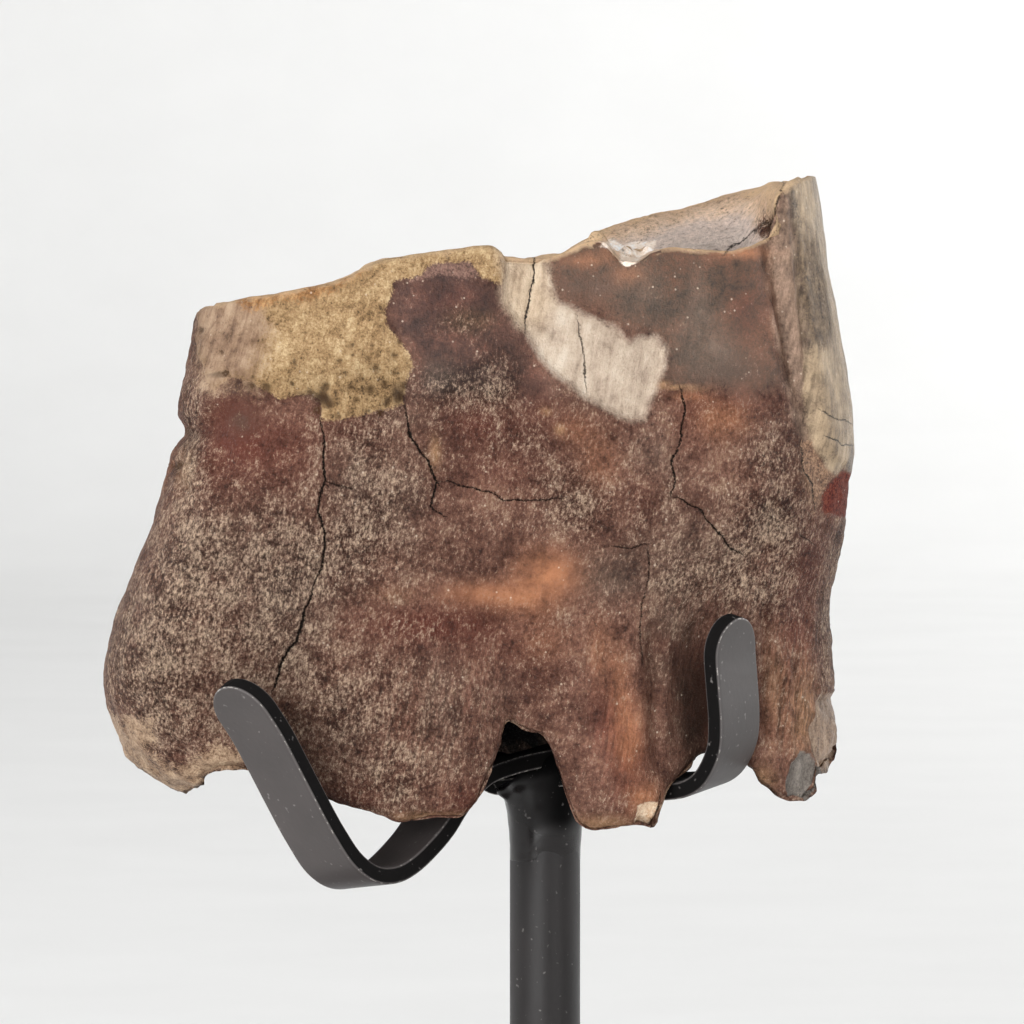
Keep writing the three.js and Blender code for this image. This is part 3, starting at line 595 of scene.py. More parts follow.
def cube_noise(points, size, seed):
    """Smooth noise from about -1 to 1: each corner of a grid of cubes of that size has a slope drawn from a
    hash of its place, and the eight slopes round a point are blended by a quintic fade."""
    place = points / size
    cell = np.floor(place).astype(np.int64)
    inside = place - cell
    fade = inside**3 * (inside * (inside * 6 - 15) + 10)
    total = np.zeros(points.shape[:-1])
    for corner in itertools.product((0, 1), repeat=3):
        mixed = seed * HASH_PRIMES[3]
        for axis in range(3):
            mixed = mixed ^ (cell[..., axis] + corner[axis]) * HASH_PRIMES[axis]
        mixed = mixed & LOW_32_BITS
        mixed = (mixed ^ mixed >> 13) * HASH_SPREAD & LOW_32_BITS
        mixed = mixed ^ mixed >> 16
        slopes = np.stack([mixed & 255, (mixed >> 8) & 255, (mixed >> 16) & 255], -1) / 127.5 - 1
        weight = np.where(corner, fade, 1 - fade).prod(-1)
        total += weight * (slopes * (inside - corner)).sum(-1)
    return total


def layered_noise(points, layers, seed):
    """The sum of cube noises, given as (size, strength)."""
    return sum(strength * cube_noise(points, size, seed + i) for i, (size, strength) in enumerate(layers))


# ---- meshes and pieces -----------------------------------------------------------------------------------


def skin_faces(rings, columns):
    """Quads between rings of points that close on themselves, as rows of four indices. Ring 0 is lowest."""
    ring, column = np.meshgrid(np.arange(rings - 1), np.arange(columns), indexing="ij")
    here, there = ring * columns + column, ring * columns + (column + 1) % columns
    return np.stack([here, here + columns, there + columns, there], -1).reshape(-1, 4)


def pole_faces(pole, ring_start, columns, upwards):
    """A fan of triangles from a pole to a ring."""
    here = ring_start + np.arange(columns)
    there = ring_start + (np.arange(columns) + 1) % columns
    centre = np.full(columns, pole)
    return np.stack([here, centre, there] if upwards else [centre, here, there], -1)


def add_piece(name, points, faces, material, marks):
    """A smooth-shaded object from points in millimetres, at the origin, with its marks as attributes."""
    mesh = bpy.data.meshes.new(name)
    mesh.from_pydata((np.asarray(points) * MM).tolist(), [], faces)
    mesh.polygons.foreach_set("use_smooth", np.ones(len(mesh.polygons), bool))
    for key, values in marks.items():
        layer = mesh.attributes.new(key, "FLOAT", "POINT")
        layer.data.foreach_set("value", np.asarray(values, np.float32).ravel())
    mesh.materials.append(material)
    mesh.update()
    piece = bpy.data.objects.new(name, mesh)
    bpy.context.scene.collection.objects.link(piece)
    return piece


def closed_piece(name, rings, material, marks):
    """A piece from rings of points, closed by a pole in the middle of its first and last ring."""
    count, columns = rings.shape[:2]
    points = np.concatenate([rings.reshape(-1, 3), rings[[0, -1]].mean(1)])
    bottom = pole_faces(count * columns, 0, columns, False)
    top = pole_faces(count * columns + 1, (count - 1) * columns, columns, True)
    faces = skin_faces(count, columns).tolist() + bottom.tolist() + top.tolist()
    marks = {key: np.concatenate([value.ravel(), value[[0, -1]].mean(1)]) for key, value in marks.items()}
    return add_piece(name, points, faces, material, marks)


def weld(piece):
    """Merges points that lie on each other, as at a bar's tips."""
    work = bmesh.new()
    work.from_mesh(piece.data)
    bmesh.ops.remove_doubles(work, verts=work.verts, dist=WELD_REACH)
    work.to_mesh(piece.data)
    work.free()


def seat_to_world(points):
    """From the upright seat frame to the part's frame: turned by the lean about Y and raised."""
    x, y, z = np.moveaxis(points, -1, 0)
    cos, sin = math.cos(LEAN), math.sin(LEAN)
    return np.stack([x * cos - z * sin, y, SEAT_HEIGHT + x * sin + z * cos], -1)


def camera_place():
    """The front view's camera: back from its aim by the view's distance and up by its elevation."""
    aim, distance, elevation = np.array(VIEW["aim"]), VIEW["distance"], VIEW["elevation"]
    return aim + distance * np.array([0, -math.cos(elevation), math.sin(elevation)])


def frame_steps(points):
    """Where points show in the front view's frame, in steps: the offset from the line of sight over the
    depth, times the view's distance."""
    elevation = VIEW["elevation"]
    forward = np.array([0, math.cos(elevation), -math.sin(elevation)])
    up = np.array([0, math.sin(elevation), math.cos(elevation)])
    offset = points - camera_place()
    scale = VIEW["distance"] / (offset @ forward) / STEP_MM
    return FRAME_STEPS / 2 + offset[..., 0] * scale, FRAME_STEPS / 2 - (offset @ up) * scale


# ---- the tooth's shape -----------------------------------------------------------------------------------

left_side, right_side = curve_through(LEFT_SIDE), curve_through(RIGHT_SIDE)
front_foot, back_foot = curve_through(FRONT_FOOT), curve_through(BACK_FOOT)
front_rim, back_rim = curve_through(FRONT_RIM), curve_through(BACK_RIM)
front_depth, back_depth = curve_through(FRONT_DEPTH), curve_through(BACK_DEPTH)


def superellipse_loop(power, columns, front_density):
    """Points round |x|^n + |y|^n = 1 from the right end by way of the front, spread by length, with the
    front counted as longer and the width as more than the depth."""
    turn = -2 * np.pi * np.linspace(0, 1, LOOP_SAMPLES)
    x = np.sign(np.cos(turn)) * np.abs(np.cos(turn)) ** (2 / power)
    y = np.sign(np.sin(turn)) * np.abs(np.sin(turn)) ** (2 / power)
    density = np.where(y[1:] < FRONT_PART, front_density, 1)
    steps = np.hypot(WIDTH_TO_DEPTH * np.diff(x), np.diff(y)) * density
    along = np.concatenate([[0], np.cumsum(steps)])
    at = np.arange(columns) / columns * along[-1]
    return np.interp(at, along, x), np.interp(at, along, y)


def foot_height(x, y):
    """The roots' lower edge: the front edge's height in front, the back edge's behind."""
    return lerp(front_foot(x), back_foot(x), smoothstep(y - SLANT * x, *FOOT_BLEND))


def rim_height(x, y):
    """The crown's rim: the front edge's height in front, the back edge's behind."""
    return lerp(front_rim(x), back_rim(x), smoothstep(y - SLANT * x, *RIM_BLEND))


def relief(bumps, x, z):
    """The sum of bell-shaped bumps: (x, z, half width, half height, amount outwards)."""
    return sum(out * bell((x - bx) / wide) * bell((z - bz) / high) for bx, bz, wide, high, out in bumps)


def wall_point(loops, z, inset):
    """The outer wall's plan position at a height: a superellipse between the sides and the two faces,
    pushed out by the relief and drawn in by inset along the superellipse's normal."""
    squareness = smoothstep(z, ROOT_LEVEL, CROWN_LEVEL)
    cx = lerp(loops["roots"][0], loops["crown"][0], squareness)
    cy = lerp(loops["roots"][1], loops["crown"][1], squareness)
    x = lerp(left_side(z), right_side(z), (cx + 1) / 2)
    y = cy * np.where(cy < 0, front_depth(z), back_depth(z)) + SLANT * x
    out = np.where(cy < 0, relief(FRONT_RELIEF, x, z), relief(BACK_RELIEF, x, z)) * cy**2 - inset
    length = np.hypot(cx**3, cy**3)
    return x + out * cx**3 / length, y + out * cy**3 / length


def edge_points(loops, height_at):
    """Where the wall meets an edge whose height depends on the place, settled in a few rounds."""
    x = y = np.zeros_like(loops["roots"][0])
    z = height_at(x, y)
    for _ in range(SETTLING_ROUNDS):
        x, y = wall_point(loops, z, 0)
        z = lerp(z, height_at(x, y), SETTLING_SHARE)
    return x, y, z


def inside_box(x, y, box):
    """1 inside a rounded box that slants with the tooth, 0 outside, smooth over its lip. The box's edge is
    where the fourth powers of the offsets across and along, over its half sizes, add up to 1."""
    across = np.abs((x - box["x"]) / box["half_x"])
    along = np.abs((y - SLANT * x - box["y"]) / box["half_y"])
    return 1 - smoothstep((across**4 + along**4) ** 0.25, 1 - box["lip"], 1)


def distance_to_line(x, y, points):
    """Distance and signed side offset to the nearest piece of a line, and how far along it that is, 0-1."""
    best = np.full(np.shape(x), 1e9)
    side, place = np.zeros_like(best), np.zeros_like(best)
    points = np.array(points, float)
    lengths = np.hypot(*np.diff(points, axis=0).T)
    before = 0
    for (x0, y0), (x1, y1), length in zip(points, points[1:], lengths):
        dx, dy = (x1 - x0) / length, (y1 - y0) / length
        reach = np.clip((x - x0) * dx + (y - y0) * dy, 0, length)
        distance = np.hypot(x - x0 - reach * dx, y - y0 - reach * dy)
        nearer = distance < best
        best = np.where(nearer, distance, best)
        side = np.where(nearer, np.sign((x - x0) * dy - (y - y0) * dx), side)
        place = np.where(nearer, (before + reach) / lengths.sum(), place)
        before += length
    return best, side * best, place


def crown_height(x, y):
    """The grinding face: the rim's height, less the hollows and the valley, plus bell-shaped ridges along
    the broken sheets' lines, which fade at their ends."""
    z, straight = rim_height(x, y), y - SLANT * x
    for hollow in CROWN_HOLLOWS:
        along = np.clip((straight - hollow["y"]) / hollow["half_y"] / 2 + 0.5, 0, 1)
        z = z - lerp(hollow["front"], hollow["back"], along) * inside_box(x, y, hollow)
    for half_width, height, line in CURLS:
        distance, _, place = distance_to_line(x, straight, line)
        ends = smoothstep(np.minimum(place, 1 - place), *CURL_ENDS)
        z = z + height * bell(distance / half_width) ** 0.7 * ends
    from_valley, _, _ = distance_to_line(x, straight, VALLEY["line"])
    return z - VALLEY["depth"] * bell(from_valley / VALLEY["half_width"])


def vault_height(x, y):
    """The underside: the roots' edge, raised to the roof inside the vault's box."""
    return lerp(foot_height(x, y), VAULT["roof"], inside_box(x, y, VAULT))


def cap_rings(count, centre, edge, height_at, power):
    """Rings from near a centre out to near an edge. Each ring's share of the way is a power of the sine of
    an even turn up to a right angle, so the rings crowd towards the edge."""
    ring = np.arange(1, count + 1)[:, None]
    share = CAP_REACH * np.sin(0.5 * np.pi * ring / (count + 1)) ** power
    x, y = lerp(centre[0], edge[0], share), lerp(centre[1], edge[1], share)
    return np.stack([x, y, height_at(x, y)], -1)


def rounded_inset(distance, radius):
    """How far a rounded edge draws the wall in, at a distance from the edge: a share of the drop of a
    quarter circle."""
    near = np.clip(radius - distance, 0, radius)
    return EDGE_ROUND["share"] * (radius - np.sqrt(radius**2 - near**2))


def grid_normals(points):
    """Outward unit normals of a ring grid: the cross product of the steps along a ring and between rings."""
    along = np.roll(points, -1, 1) - np.roll(points, 1, 1)
    across = np.gradient(points, axis=0)
    normal = np.cross(across, along)
    return normal / np.maximum(np.linalg.norm(normal, axis=-1, keepdims=True), 1e-9)


def tooth_skin(settings):
    """The whole tooth as rings by columns of points in the seat frame, from the vault over the foot, up
    the wall, over the rim and in to the middle of the crown, and each ring's place in that order."""
    loops = {
        key: superellipse_loop(power, settings.columns, settings.front_density)
        for key, power in ROUNDING.items()
    }
    foot, rim = edge_points(loops, foot_height), edge_points(loops, rim_height)
    vault = cap_rings(settings.vault_rings, VAULT_CENTRE, foot, vault_height, VAULT_CROWDING)
    even = np.linspace(0, 1, settings.wall_rings + 1)[:, None]
    share = lerp(even, smoothstep(even, 0, 1), CROWDING)
    calm = foot[2]
    for _ in range(CALMING_ROUNDS):
        calm = (np.roll(calm, CALMING_STEP) + calm + np.roll(calm, -CALMING_STEP)) / 3
    z = lerp(calm, rim[2], share) + (foot[2] - calm) * (1 - share) ** CALMING_POWER
    inset = rounded_inset(z - foot[2], EDGE_ROUND["foot"]) + rounded_inset(rim[2] - z, EDGE_ROUND["rim"])
    wall = np.stack([*wall_point(loops, z, inset), z], -1)
    crown = cap_rings(settings.crown_rings, CROWN_CENTRE, rim, crown_height, CROWN_CROWDING)[::-1]
    zone = np.repeat([-1, 0, 1], [len(vault), len(wall), len(crown)])
    points = np.concatenate([vault, wall, crown])
    normal = grid_normals(points)
    deep = np.minimum(z - foot[2], rim[2] - z)[..., None]
    level = np.stack([*(wall_point(loops, z, -1) - np.array(wall_point(loops, z, 0))), 0 * z], -1)
    normal[zone == 0] = lerp(normal[zone == 0], level, smoothstep(deep, 0, EDGE_REACH))
    return points, normal / np.linalg.norm(normal, axis=-1, keepdims=True), zone


# ---- the tooth's marks and fine relief -------------------------------------------------------------------


def outline_depth(x, y, outline):
    """Distance to a closed outline, positive inside it: inside is where a line to the right crosses the
    outline an odd number of times."""
    closed = [*outline, outline[0]]
    distance, _, _ = distance_to_line(x, y, closed)
    inside = np.zeros(np.shape(x), bool)
    for (x0, y0), (x1, y1) in zip(closed, closed[1:]):
        if y0 != y1:
            crossing = x0 + (y - y0) * (x1 - x0) / (y1 - y0)
            inside ^= (np.minimum(y0, y1) <= y) & (y < np.maximum(y0, y1)) & (x < crossing)
    return np.where(inside, distance, -distance)


def patch_depths(points, world_normal, place, facing, seed):
    """How deep each point lies in each patch, in millimetres. Noise makes the outlines ragged, and the depth
    falls off where the surface turns away from the front."""
    x, y = (at + layered_noise(points, RAGGED, seed + k) for at, k in zip(place, SEEDS["ragged"]))
    depths = {}
    for name, outline in PATCHES.items():
        depth = outline_depth(x, y, outline) * STEP_MM
        if name in WRAPPED:
            depths[name] = np.where(world_normal[..., 1] < WRAPPED[name], depth, OUTSIDE)
        else:
            depths[name] = np.where(facing > 0, depth, OUTSIDE) - TURNED_AWAY * (1 - facing)
    return depths


def enamel_side_depth(points, world_normal, on_wall, seed):
    """Depths of the right side's layer and of its enamel, which lie above a ragged level, towards the right
    and where the wall faces right."""
    side = ENAMEL_SIDE
    around = layered_noise(points, side["ragged"], seed + SEEDS["side"])
    above = points[..., 2] - side["height"] + side["stray"] * around
    depth = np.minimum(above, (world_normal[..., 0] - side["facing"]) * side["facing_gain"])
    depth = np.minimum(depth, (points[..., 0] - side["x"]) * side["x_gain"])
    enamel = depth - side["border"] - side["border_stray"] * np.abs(around)
    return np.where(on_wall, depth, OUTSIDE), np.where(on_wall, enamel, OUTSIDE)


def tint_shares(points, x, y, facing, seed):
    """How strong each tint is: its blots in front, and clouds of noise where the tooth faces away."""
    shares = {}
    for k, (name, blots) in enumerate(TINTS.items()):
        front = sum(
            amount * bell((x - bx) / wide) * bell((y - by) / high) for bx, by, wide, high, amount in blots
        )
        size, strength, level = SCATTER[name]
        clouds = layered_noise(points, [(size, 1), (size / 3, 0.5)], seed + SEEDS["scatter"] + k)
        elsewhere = np.clip(level + strength * clouds, 0, 1)
        shares[name] = np.clip(front, -1, 1.3) * facing + elsewhere * (1 - facing)
    return shares


def nearest_crack(points, x, y, seed):
    """The side offset to the nearest crack and its half width there, both in millimetres. A crack jitters,
    tapers towards its ends and closes beyond its reach."""
    nearest, offset, width = np.full(x.shape, 1e9), np.ones(x.shape), np.full(x.shape, -1.0)
    x, y = (at + layered_noise(points, JITTER, seed + k) for at, k in zip((x, y), SEEDS["jitter"]))
    for half_width, line in CRACKS:
        distance, side, place = distance_to_line(x, y, line)
        mine = distance < nearest
        nearest = np.where(mine, distance, nearest)
        opening = np.minimum(1, CRACK_TIP + CRACK_TAPER * np.minimum(place, 1 - place))
        closed = CRACK_CLOSING * np.maximum(0, distance * STEP_MM - CRACK_REACH)
        offset = np.where(mine, side * STEP_MM, offset)
        width = np.where(mine, CRACK_OPENING * half_width * opening - closed, width)
    return offset, width


def tooth_marks(points, normal, zone, seed):
    """Numbers for each point: how deep it lies in each patch, the tints, the cracks and pits, and where it
    lies on the tooth. Front marks go only on the outer wall that faces the front view. Also returns the
    points' places in that view and how far the front's relief reaches them."""
    world = seat_to_world(points)
    world_normal = seat_to_world(points + normal) - world
    x, y = frame_steps(world)
    in_vault, on_wall, on_crown = ((zone == part)[:, None] for part in (-1, 0, 1))
    facing = np.where(on_wall, smoothstep(-world_normal[..., 1], *FRONT_FACING), 0)
    marks = patch_depths(points, world_normal, (x, y), facing, seed)
    side, enamel = enamel_side_depth(points, world_normal, on_wall, seed)
    marks["side"] = np.maximum(marks["side"], side)
    marks["enamel"] = np.maximum(marks["enamel"], enamel)
    marks.update(tint_shares(points, x, y, facing, seed))
    shown = (facing > 0) | on_crown
    marks["crack"], width = nearest_crack(points, x, y, seed)
    marks["crack_width"] = np.where(shown, width, -1)
    pits = sum(bell(np.hypot(x - px, y - py) / radius) for px, py, radius, _ in PITS)
    marks["pit"] = np.clip(pits, 0, 1) * shown
    marks["crown"] = np.broadcast_to(on_crown, x.shape).astype(float)
    height, x_in_seat, y_in_seat = points[..., 2], points[..., 0], points[..., 1]
    above_foot = height - foot_height(x_in_seat, y_in_seat)
    # Shade painted over the vault, full from a little above its foot.
    marks["vault"] = np.where(in_vault, smoothstep(above_foot, *VAULT_SHADE), 0)
    below_rim = rim_height(x_in_seat, y_in_seat) - height
    on_curl = marks["curl"] > CURL_BORDER
    marks["below_rim"] = np.where(on_curl, np.maximum(below_rim, 1), below_rim)
    return marks, (x, y, on_crown + facing)


def fine_relief(points, marks, front, seed):
    """How far each point moves outwards: lumps of noise that the smooth layers damp, patches that stand
    proud or lie lower, and the pits, folds and cracks."""
    x, y, facing = front
    smooth = sum(smoothstep(marks[name], *DENSE_BORDER) for name in DENSE_LAYERS)
    damp = 1 - DAMPING * np.clip(smooth, 0, 1)
    lumps = layered_noise(points, LUMPS, seed + SEEDS["lumps"])
    grains = layered_noise(points, GRAINS, seed + SEEDS["grains"])
    grains = grains * (GRAIN_SHARES[0] + GRAIN_SHARES[1] * marks["grain"])
    torn = layered_noise(points, BROKEN_EDGES, seed + SEEDS["broken_edges"])
    torn = torn * np.clip(relief(TORN, points[..., 0], points[..., 2]), 0, 1)
    out = lumps * lerp(LUMPS_LEFT, 1, damp) + grains * damp + torn
    for name, amount in LAYER_STEPS.items():
        out = out + amount * smoothstep(marks[name], *STEP_BORDER)
    for px, py, radius, depth in PITS:
        out = out - depth * bell(np.hypot(x - px, y - py) / radius) * facing
    for half_width, amount, line in FOLDS:
        distance, _, place = distance_to_line(x, y, line)
        ends = smoothstep(np.minimum(place, 1 - place), *FOLD_ENDS)
        out = out + amount * bell(distance * STEP_MM / half_width) * ends * facing
    opened = smoothstep(marks["crack_width"], 0, 0.1)
    return out - CRACK_DEPTH * bell(marks["crack"] / CRACK_HALF_WIDTH) * opened


# ---- materials -------------------------------------------------------------------------------------------


def add(tree, kind, inputs=None, stops=(), **settings):
    """Adds a shader node. inputs holds values, or nodes and sockets to link, by name or place, and stops
    are the places and linear colours of a ramp in order."""
    node = tree.nodes.new("ShaderNode" + kind)
    for key, value in settings.items():
        setattr(node, key, value)
    for key, value in (inputs or {}).items():
        source = value.outputs[0] if isinstance(value, bpy.types.Node) else value
        if isinstance(source, bpy.types.NodeSocket):
            tree.links.new(source, node.inputs[key])
        else:
            node.inputs[key].default_value = source
    for i, (place, colour) in enumerate(stops):
        element = node.color_ramp.elements[i] if i < 2 else node.color_ramp.elements.new(place)
        element.position, element.color = place, colour
    return node


def new_material(name):
    """An empty node material with its principled shader and output."""
    material = bpy.data.materials.new(name)
    material.use_nodes = True
    tree = material.node_tree
    tree.nodes.clear()
    shader = add(tree, "BsdfPrincipled")
    add(tree, "OutputMaterial", {"Surface": shader})
    return material, tree, shader


def wire(tree, shader, sources):
    """Links nodes or sockets to the shader's inputs."""
    for key, source in sources.items():
        socket = source.outputs[0] if isinstance(source, bpy.types.Node) else source
        tree.links.new(socket, shader.inputs[key])


def even_stops(hex_colours, low, high):
    """Ramp stops whose colours lie evenly between two values."""
    places = np.linspace(low, high, len(hex_colours)).tolist()
    return [(place, linear(colour)) for place, colour in zip(places, hex_colours)]


def weighted_sum(tree, signals, weights, plus=0.0):
    """The sum of weight times signal over the weights, plus a constant."""
    total = plus
    for name, weight in weights.items():
        total = add(tree, "Math", {0: signals[name], 1: weight, 2: total}, operation="MULTIPLY_ADD")
    return total


def spread(tree, signals, weights, ends, shares=(0, 1), plus=0.0):
    """A weighted sum of signals, stretched so that its two ends give the two shares, and held between."""
    total = weighted_sum(tree, signals, weights, plus)
    limits = dict(zip(("From Min", "From Max", "To Min", "To Max"), (*ends, *shares)))
    return add(tree, "MapRange", {"Value": total, **limits}).outputs[0]


def tooth_signals(tree):
    """The tooth's noise patterns, their mixtures and the numbers its points carry, by name."""
    place = add(tree, "TexCoord").outputs["Object"]
    along = {"upright": add(tree, "Mapping", {"Vector": place, "Rotation": (0, -LEAN, 0)})}
    for name, scale in STRETCH.items():
        along[name] = add(tree, "Mapping", {"Vector": along["upright"], "Scale": (1, 1, scale)})
    signals = {}
    for name, (axes, size, detail, gain) in PATTERNS.items():
        noise = {"Vector": along[axes], "Scale": 1 / (size * MM), "Detail": detail, "Roughness": gain}
        signals[name] = add(tree, "TexNoise", noise)
    for name, weights in MIXTURES.items():
        signals[name] = weighted_sum(tree, signals, weights)
    for name in (*PATCHES, *TINTS, "crack", "crack_width", "pit", "crown", "vault", "below_rim"):
        signals[name] = add(tree, "Attribute", attribute_name=name).outputs["Fac"]
    # Cells for the painted glints.
    glint_cells = add(tree, "TexVoronoi", {"Vector": along["upright"], "Scale": 1 / (0.9 * MM)})
    signals["glint_cells"] = glint_cells.outputs["Distance"]
    return signals


def lay_over(tree, colour, rough, signals, name, layer):
    """Lays one layer over a colour and a roughness, with a frayed edge. Returns both and its share."""
    soft, fray, gloss, pattern, colours = layer
    depth = weighted_sum(tree, signals, {"blotch": fray, "grit": fray, name: 1.0}, -fray)
    edge = {"Value": depth, "From Min": -soft, "From Max": soft}
    share = add(tree, "MapRange", edge, interpolation_type="SMOOTHSTEP")
    look = add(tree, "ValToRGB", {"Fac": signals[pattern]}, even_stops(colours, 0.41, 0.59))
    colour = add(tree, "Mix", {0: share, 6: colour, 7: look}, data_type="RGBA").outputs[2]
    return colour, add(tree, "Mix", {0: share, 2: rough, 3: gloss}).outputs[0], share


def mineral_stained_tooth(settings):
    """Fossil dentine, cementum and enamel: mineral salts have stained the porous layers brown and red, dull
    and granular, while the dense enamel stays pale and glossy."""
    material, tree, shader = new_material("mineral_stained_tooth")
    signals = tooth_signals(tree)

    # The porous ground: red-brown cementum in soft clouds, under the smooth layers.
    colour = add(tree, "ValToRGB", {"Fac": signals["ground"]}, even_stops(CEMENTUM_GROUND, 0.39, 0.6))
    rough = spread(tree, signals, {"grit": 1}, (0.3, 0.7), (0.45, 0.75))
    signals["smooth"] = 0.0
    for name, layer in SMOOTH_LAYERS.items():
        colour, rough, share = lay_over(tree, colour, rough, signals, name, layer)
        signals["smooth"] = add(tree, "Math", {0: signals["smooth"], 1: share}, operation="MAXIMUM")
    clouds = spread(tree, signals, {"mottle": 0.6, "blotch": 0.4}, (0.35, 0.65), (0.82, 1.18))
    colour = add(tree, "VectorMath", {0: colour, 1: clouds}, operation="MULTIPLY").outputs[0]

    # Stains, broken up by blotches, and fibres along the roots. The dusk tint also paints shade beside the
    # strips, and the glow a highlight near the rim.
    broken = spread(tree, signals, {"blotch": 1}, (0.3, 0.58), (0.3, 1))
    for name, strength, stain in [
        ("grey", 0.6, settings.grey_stain), ("red", 0.8, settings.red_stain),
        ("glow", 0.75, settings.orange_stain_and_glow), ("dusk", 0.65, settings.dark_stain_and_shade),
        ("pale", 0.75, settings.bare_dentine),
    ]:
        share = add(tree, "Math", {0: signals[name], 1: broken}, operation="MULTIPLY")
        share = add(tree, "Math", {0: share, 1: strength}, operation="MULTIPLY", use_clamp=True)
        colour = add(tree, "Mix", {0: share, 6: colour, 7: stain}, data_type="RGBA").outputs[2]
    fibre = spread(tree, signals, {"fibres": 1}, (0.35, 0.65), (-0.5, 0.6))
    fibre = add(tree, "Math", {0: fibre, 1: signals["fibrous"], 2: 1.0}, operation="MULTIPLY_ADD")
    for factor in (fibre, WARMTH):
        colour = add(tree, "VectorMath", {0: colour, 1: factor}, operation="MULTIPLY").outputs[0]

    # Clusters of pale grit, most of it where the surface is weathered.
    clusters = {"crumbs": 1.3, "blotch": 0.7, "grain": 0.17, "smooth": -0.14}
    signals["clusters"] = weighted_sum(tree, signals, clusters, -1.06)
    grit = spread(tree, signals, {"clusters": 1}, (-0.02, 0.2), (0, 0.75))
    pale = [(0.05, settings.weathered), (0.32, settings.flecks)]
    pale = add(tree, "ValToRGB", {"Fac": signals["clusters"]}, pale)
    colour = add(tree, "Mix", {0: grit, 6: colour, 7: pale}, data_type="RGBA").outputs[2]
    # Painted light on the crumbs and painted shade between them, stronger where the surface is weathered.
    depth = weighted_sum(tree, signals, {"grain": 2.8, "smooth": -1.3}, 2.1)
    depth = add(tree, "Math", {0: depth, 1: 0.3}, operation="MAXIMUM")
    crumb_light_and_shade = add(tree, "Math", {0: signals["crumbs"], 1: 0.5}, operation="SUBTRACT")
    crumb_light_and_shade = add(tree, "Math", {0: crumb_light_and_shade, 1: depth, 2: 1.0}, operation="MULTIPLY_ADD")
    crumb_light_and_shade = add(tree, "Math", {0: crumb_light_and_shade, 1: 0.25}, operation="MAXIMUM")
    colour = add(tree, "VectorMath", {0: colour, 1: crumb_light_and_shade}, operation="MULTIPLY").outputs[0]

    # The grinding face: tan grit below the rim, then lilac-grey dentine, and brown in the hollows.
    sunk = spread(tree, signals, {"blotch": 2.0, "below_rim": 1.0}, (0, 5), plus=-1.0)
    worn = add(tree, "ValToRGB", {"Fac": sunk}, even_stops(GRINDING_FACE, 0.0, 0.95))
    grains = spread(tree, signals, {"speck": 1}, (0.35, 0.65), (0.72, 1.22))
    worn = add(tree, "VectorMath", {0: worn, 1: grains}, operation="MULTIPLY")
    colour = add(tree, "Mix", {0: signals["crown"], 6: colour, 7: worn}, data_type="RGBA").outputs[2]
    for name, layer in CRISP_LAYERS.items():
        colour, rough, _ = lay_over(tree, colour, rough, signals, name, layer)
    signals["rough"] = rough

    # A highlight is painted along the rim: its edge is paler and warmer, where the broken rim catches the
    # light.
    edge = spread(tree, signals, {"blotch": 1.6, "below_rim": 1.0}, (0.35, -0.15), (0, 0.7), -0.8)
    # Dark specks in the pores, both dirt and painted shade, and dirt smeared over the surface, which beside
    # the right strip is painted shade.
    pore_dirt_and_shade = {"grain": -0.06, "blotch": 0.25, "fine": 1.0}
    pore_dirt_and_shade = spread(tree, signals, pore_dirt_and_shade, (0.4, 0.34), (0, 0.75), -0.125)
    porous = spread(tree, signals, {"rough": 1}, (0.3, 0.5), (0.15, 1))
    pore_dirt_and_shade = add(tree, "Math", {0: pore_dirt_and_shade, 1: porous}, operation="MULTIPLY")
    dirt_and_shade_smear = {0: signals["dirt_and_shade"], 1: signals["blotch"], 2: 0.2}
    signals["dirt_and_shade_smear"] = add(tree, "Math", dirt_and_shade_smear, operation="MULTIPLY_ADD")
    dirt_and_shade_smear = spread(tree, signals, {"dirt_and_shade_smear": 1}, (0.4, 0.8), (0, 0.8))
    dirt_and_shade = add(tree, "Math", {0: pore_dirt_and_shade, 1: dirt_and_shade_smear}, operation="MAXIMUM")
    # Painted glints: specks of painted highlight, in some places only.
    painted_glint = spread(tree, signals, {"glint_cells": 1}, (0.13, 0.07), (0, 0.6))
    some = spread(tree, signals, {"blotch": 1}, (0.48, 0.56))
    painted_glint = add(tree, "Math", {0: painted_glint, 1: some}, operation="MULTIPLY")
    # Pits with ragged edges, and cracks as wide as the points say, both painted dark.
    pit = spread(tree, signals, {"fine": 3.2, "pit": 1.0}, (0.35, 0.75), (0, 0.8), -1.65)
    jagged = weighted_sum(tree, signals, {"grit": 0.5, "crack": 1.0}, -0.25)
    away = add(tree, "Math", {0: jagged}, operation="ABSOLUTE")
    into = {0: signals["crack_width"], 1: away}
    signals["into_crack"] = add(tree, "Math", into, operation="SUBTRACT")
    signals["open_crack"] = spread(tree, signals, {"into_crack": 1}, (-0.04, 0.03))
    # Painted rim highlight, dark pores and dirt with painted shade, painted shade in the vault, painted
    # glints, and dark pits and cracks.
    for share, coat in [
        (edge, linear(PAINTED_RIM_HIGHLIGHT)), (dirt_and_shade, settings.pore_dirt_and_shade), (signals["vault"], linear(VAULT_PAINTED_SHADE)),
        (painted_glint, linear(PAINTED_GLINT)), (pit, linear(PIT_DARK)), (signals["open_crack"], linear(CRACK_DARK)),
    ]:
        colour = add(tree, "Mix", {0: share, 6: colour, 7: coat}, data_type="RGBA").outputs[2]

    signals["lift"] = add(tree, "Math", {0: signals["crumbs"], 1: depth}, operation="MULTIPLY")
    height = weighted_sum(tree, signals, {"fine": 0.7, "lift": 0.5, "open_crack": -1.0})
    bump = add(tree, "Bump", {"Height": height, "Strength": 0.9, "Distance": 0.3 * MM})
    shine = spread(tree, signals, {"rough": 1}, (0.3, 0.6), (0.4, 0.1))
    looks = {"Base Color": colour, "Roughness": rough, "Normal": bump, "Specular IOR Level": shine}
    wire(tree, shader, looks)
    return material


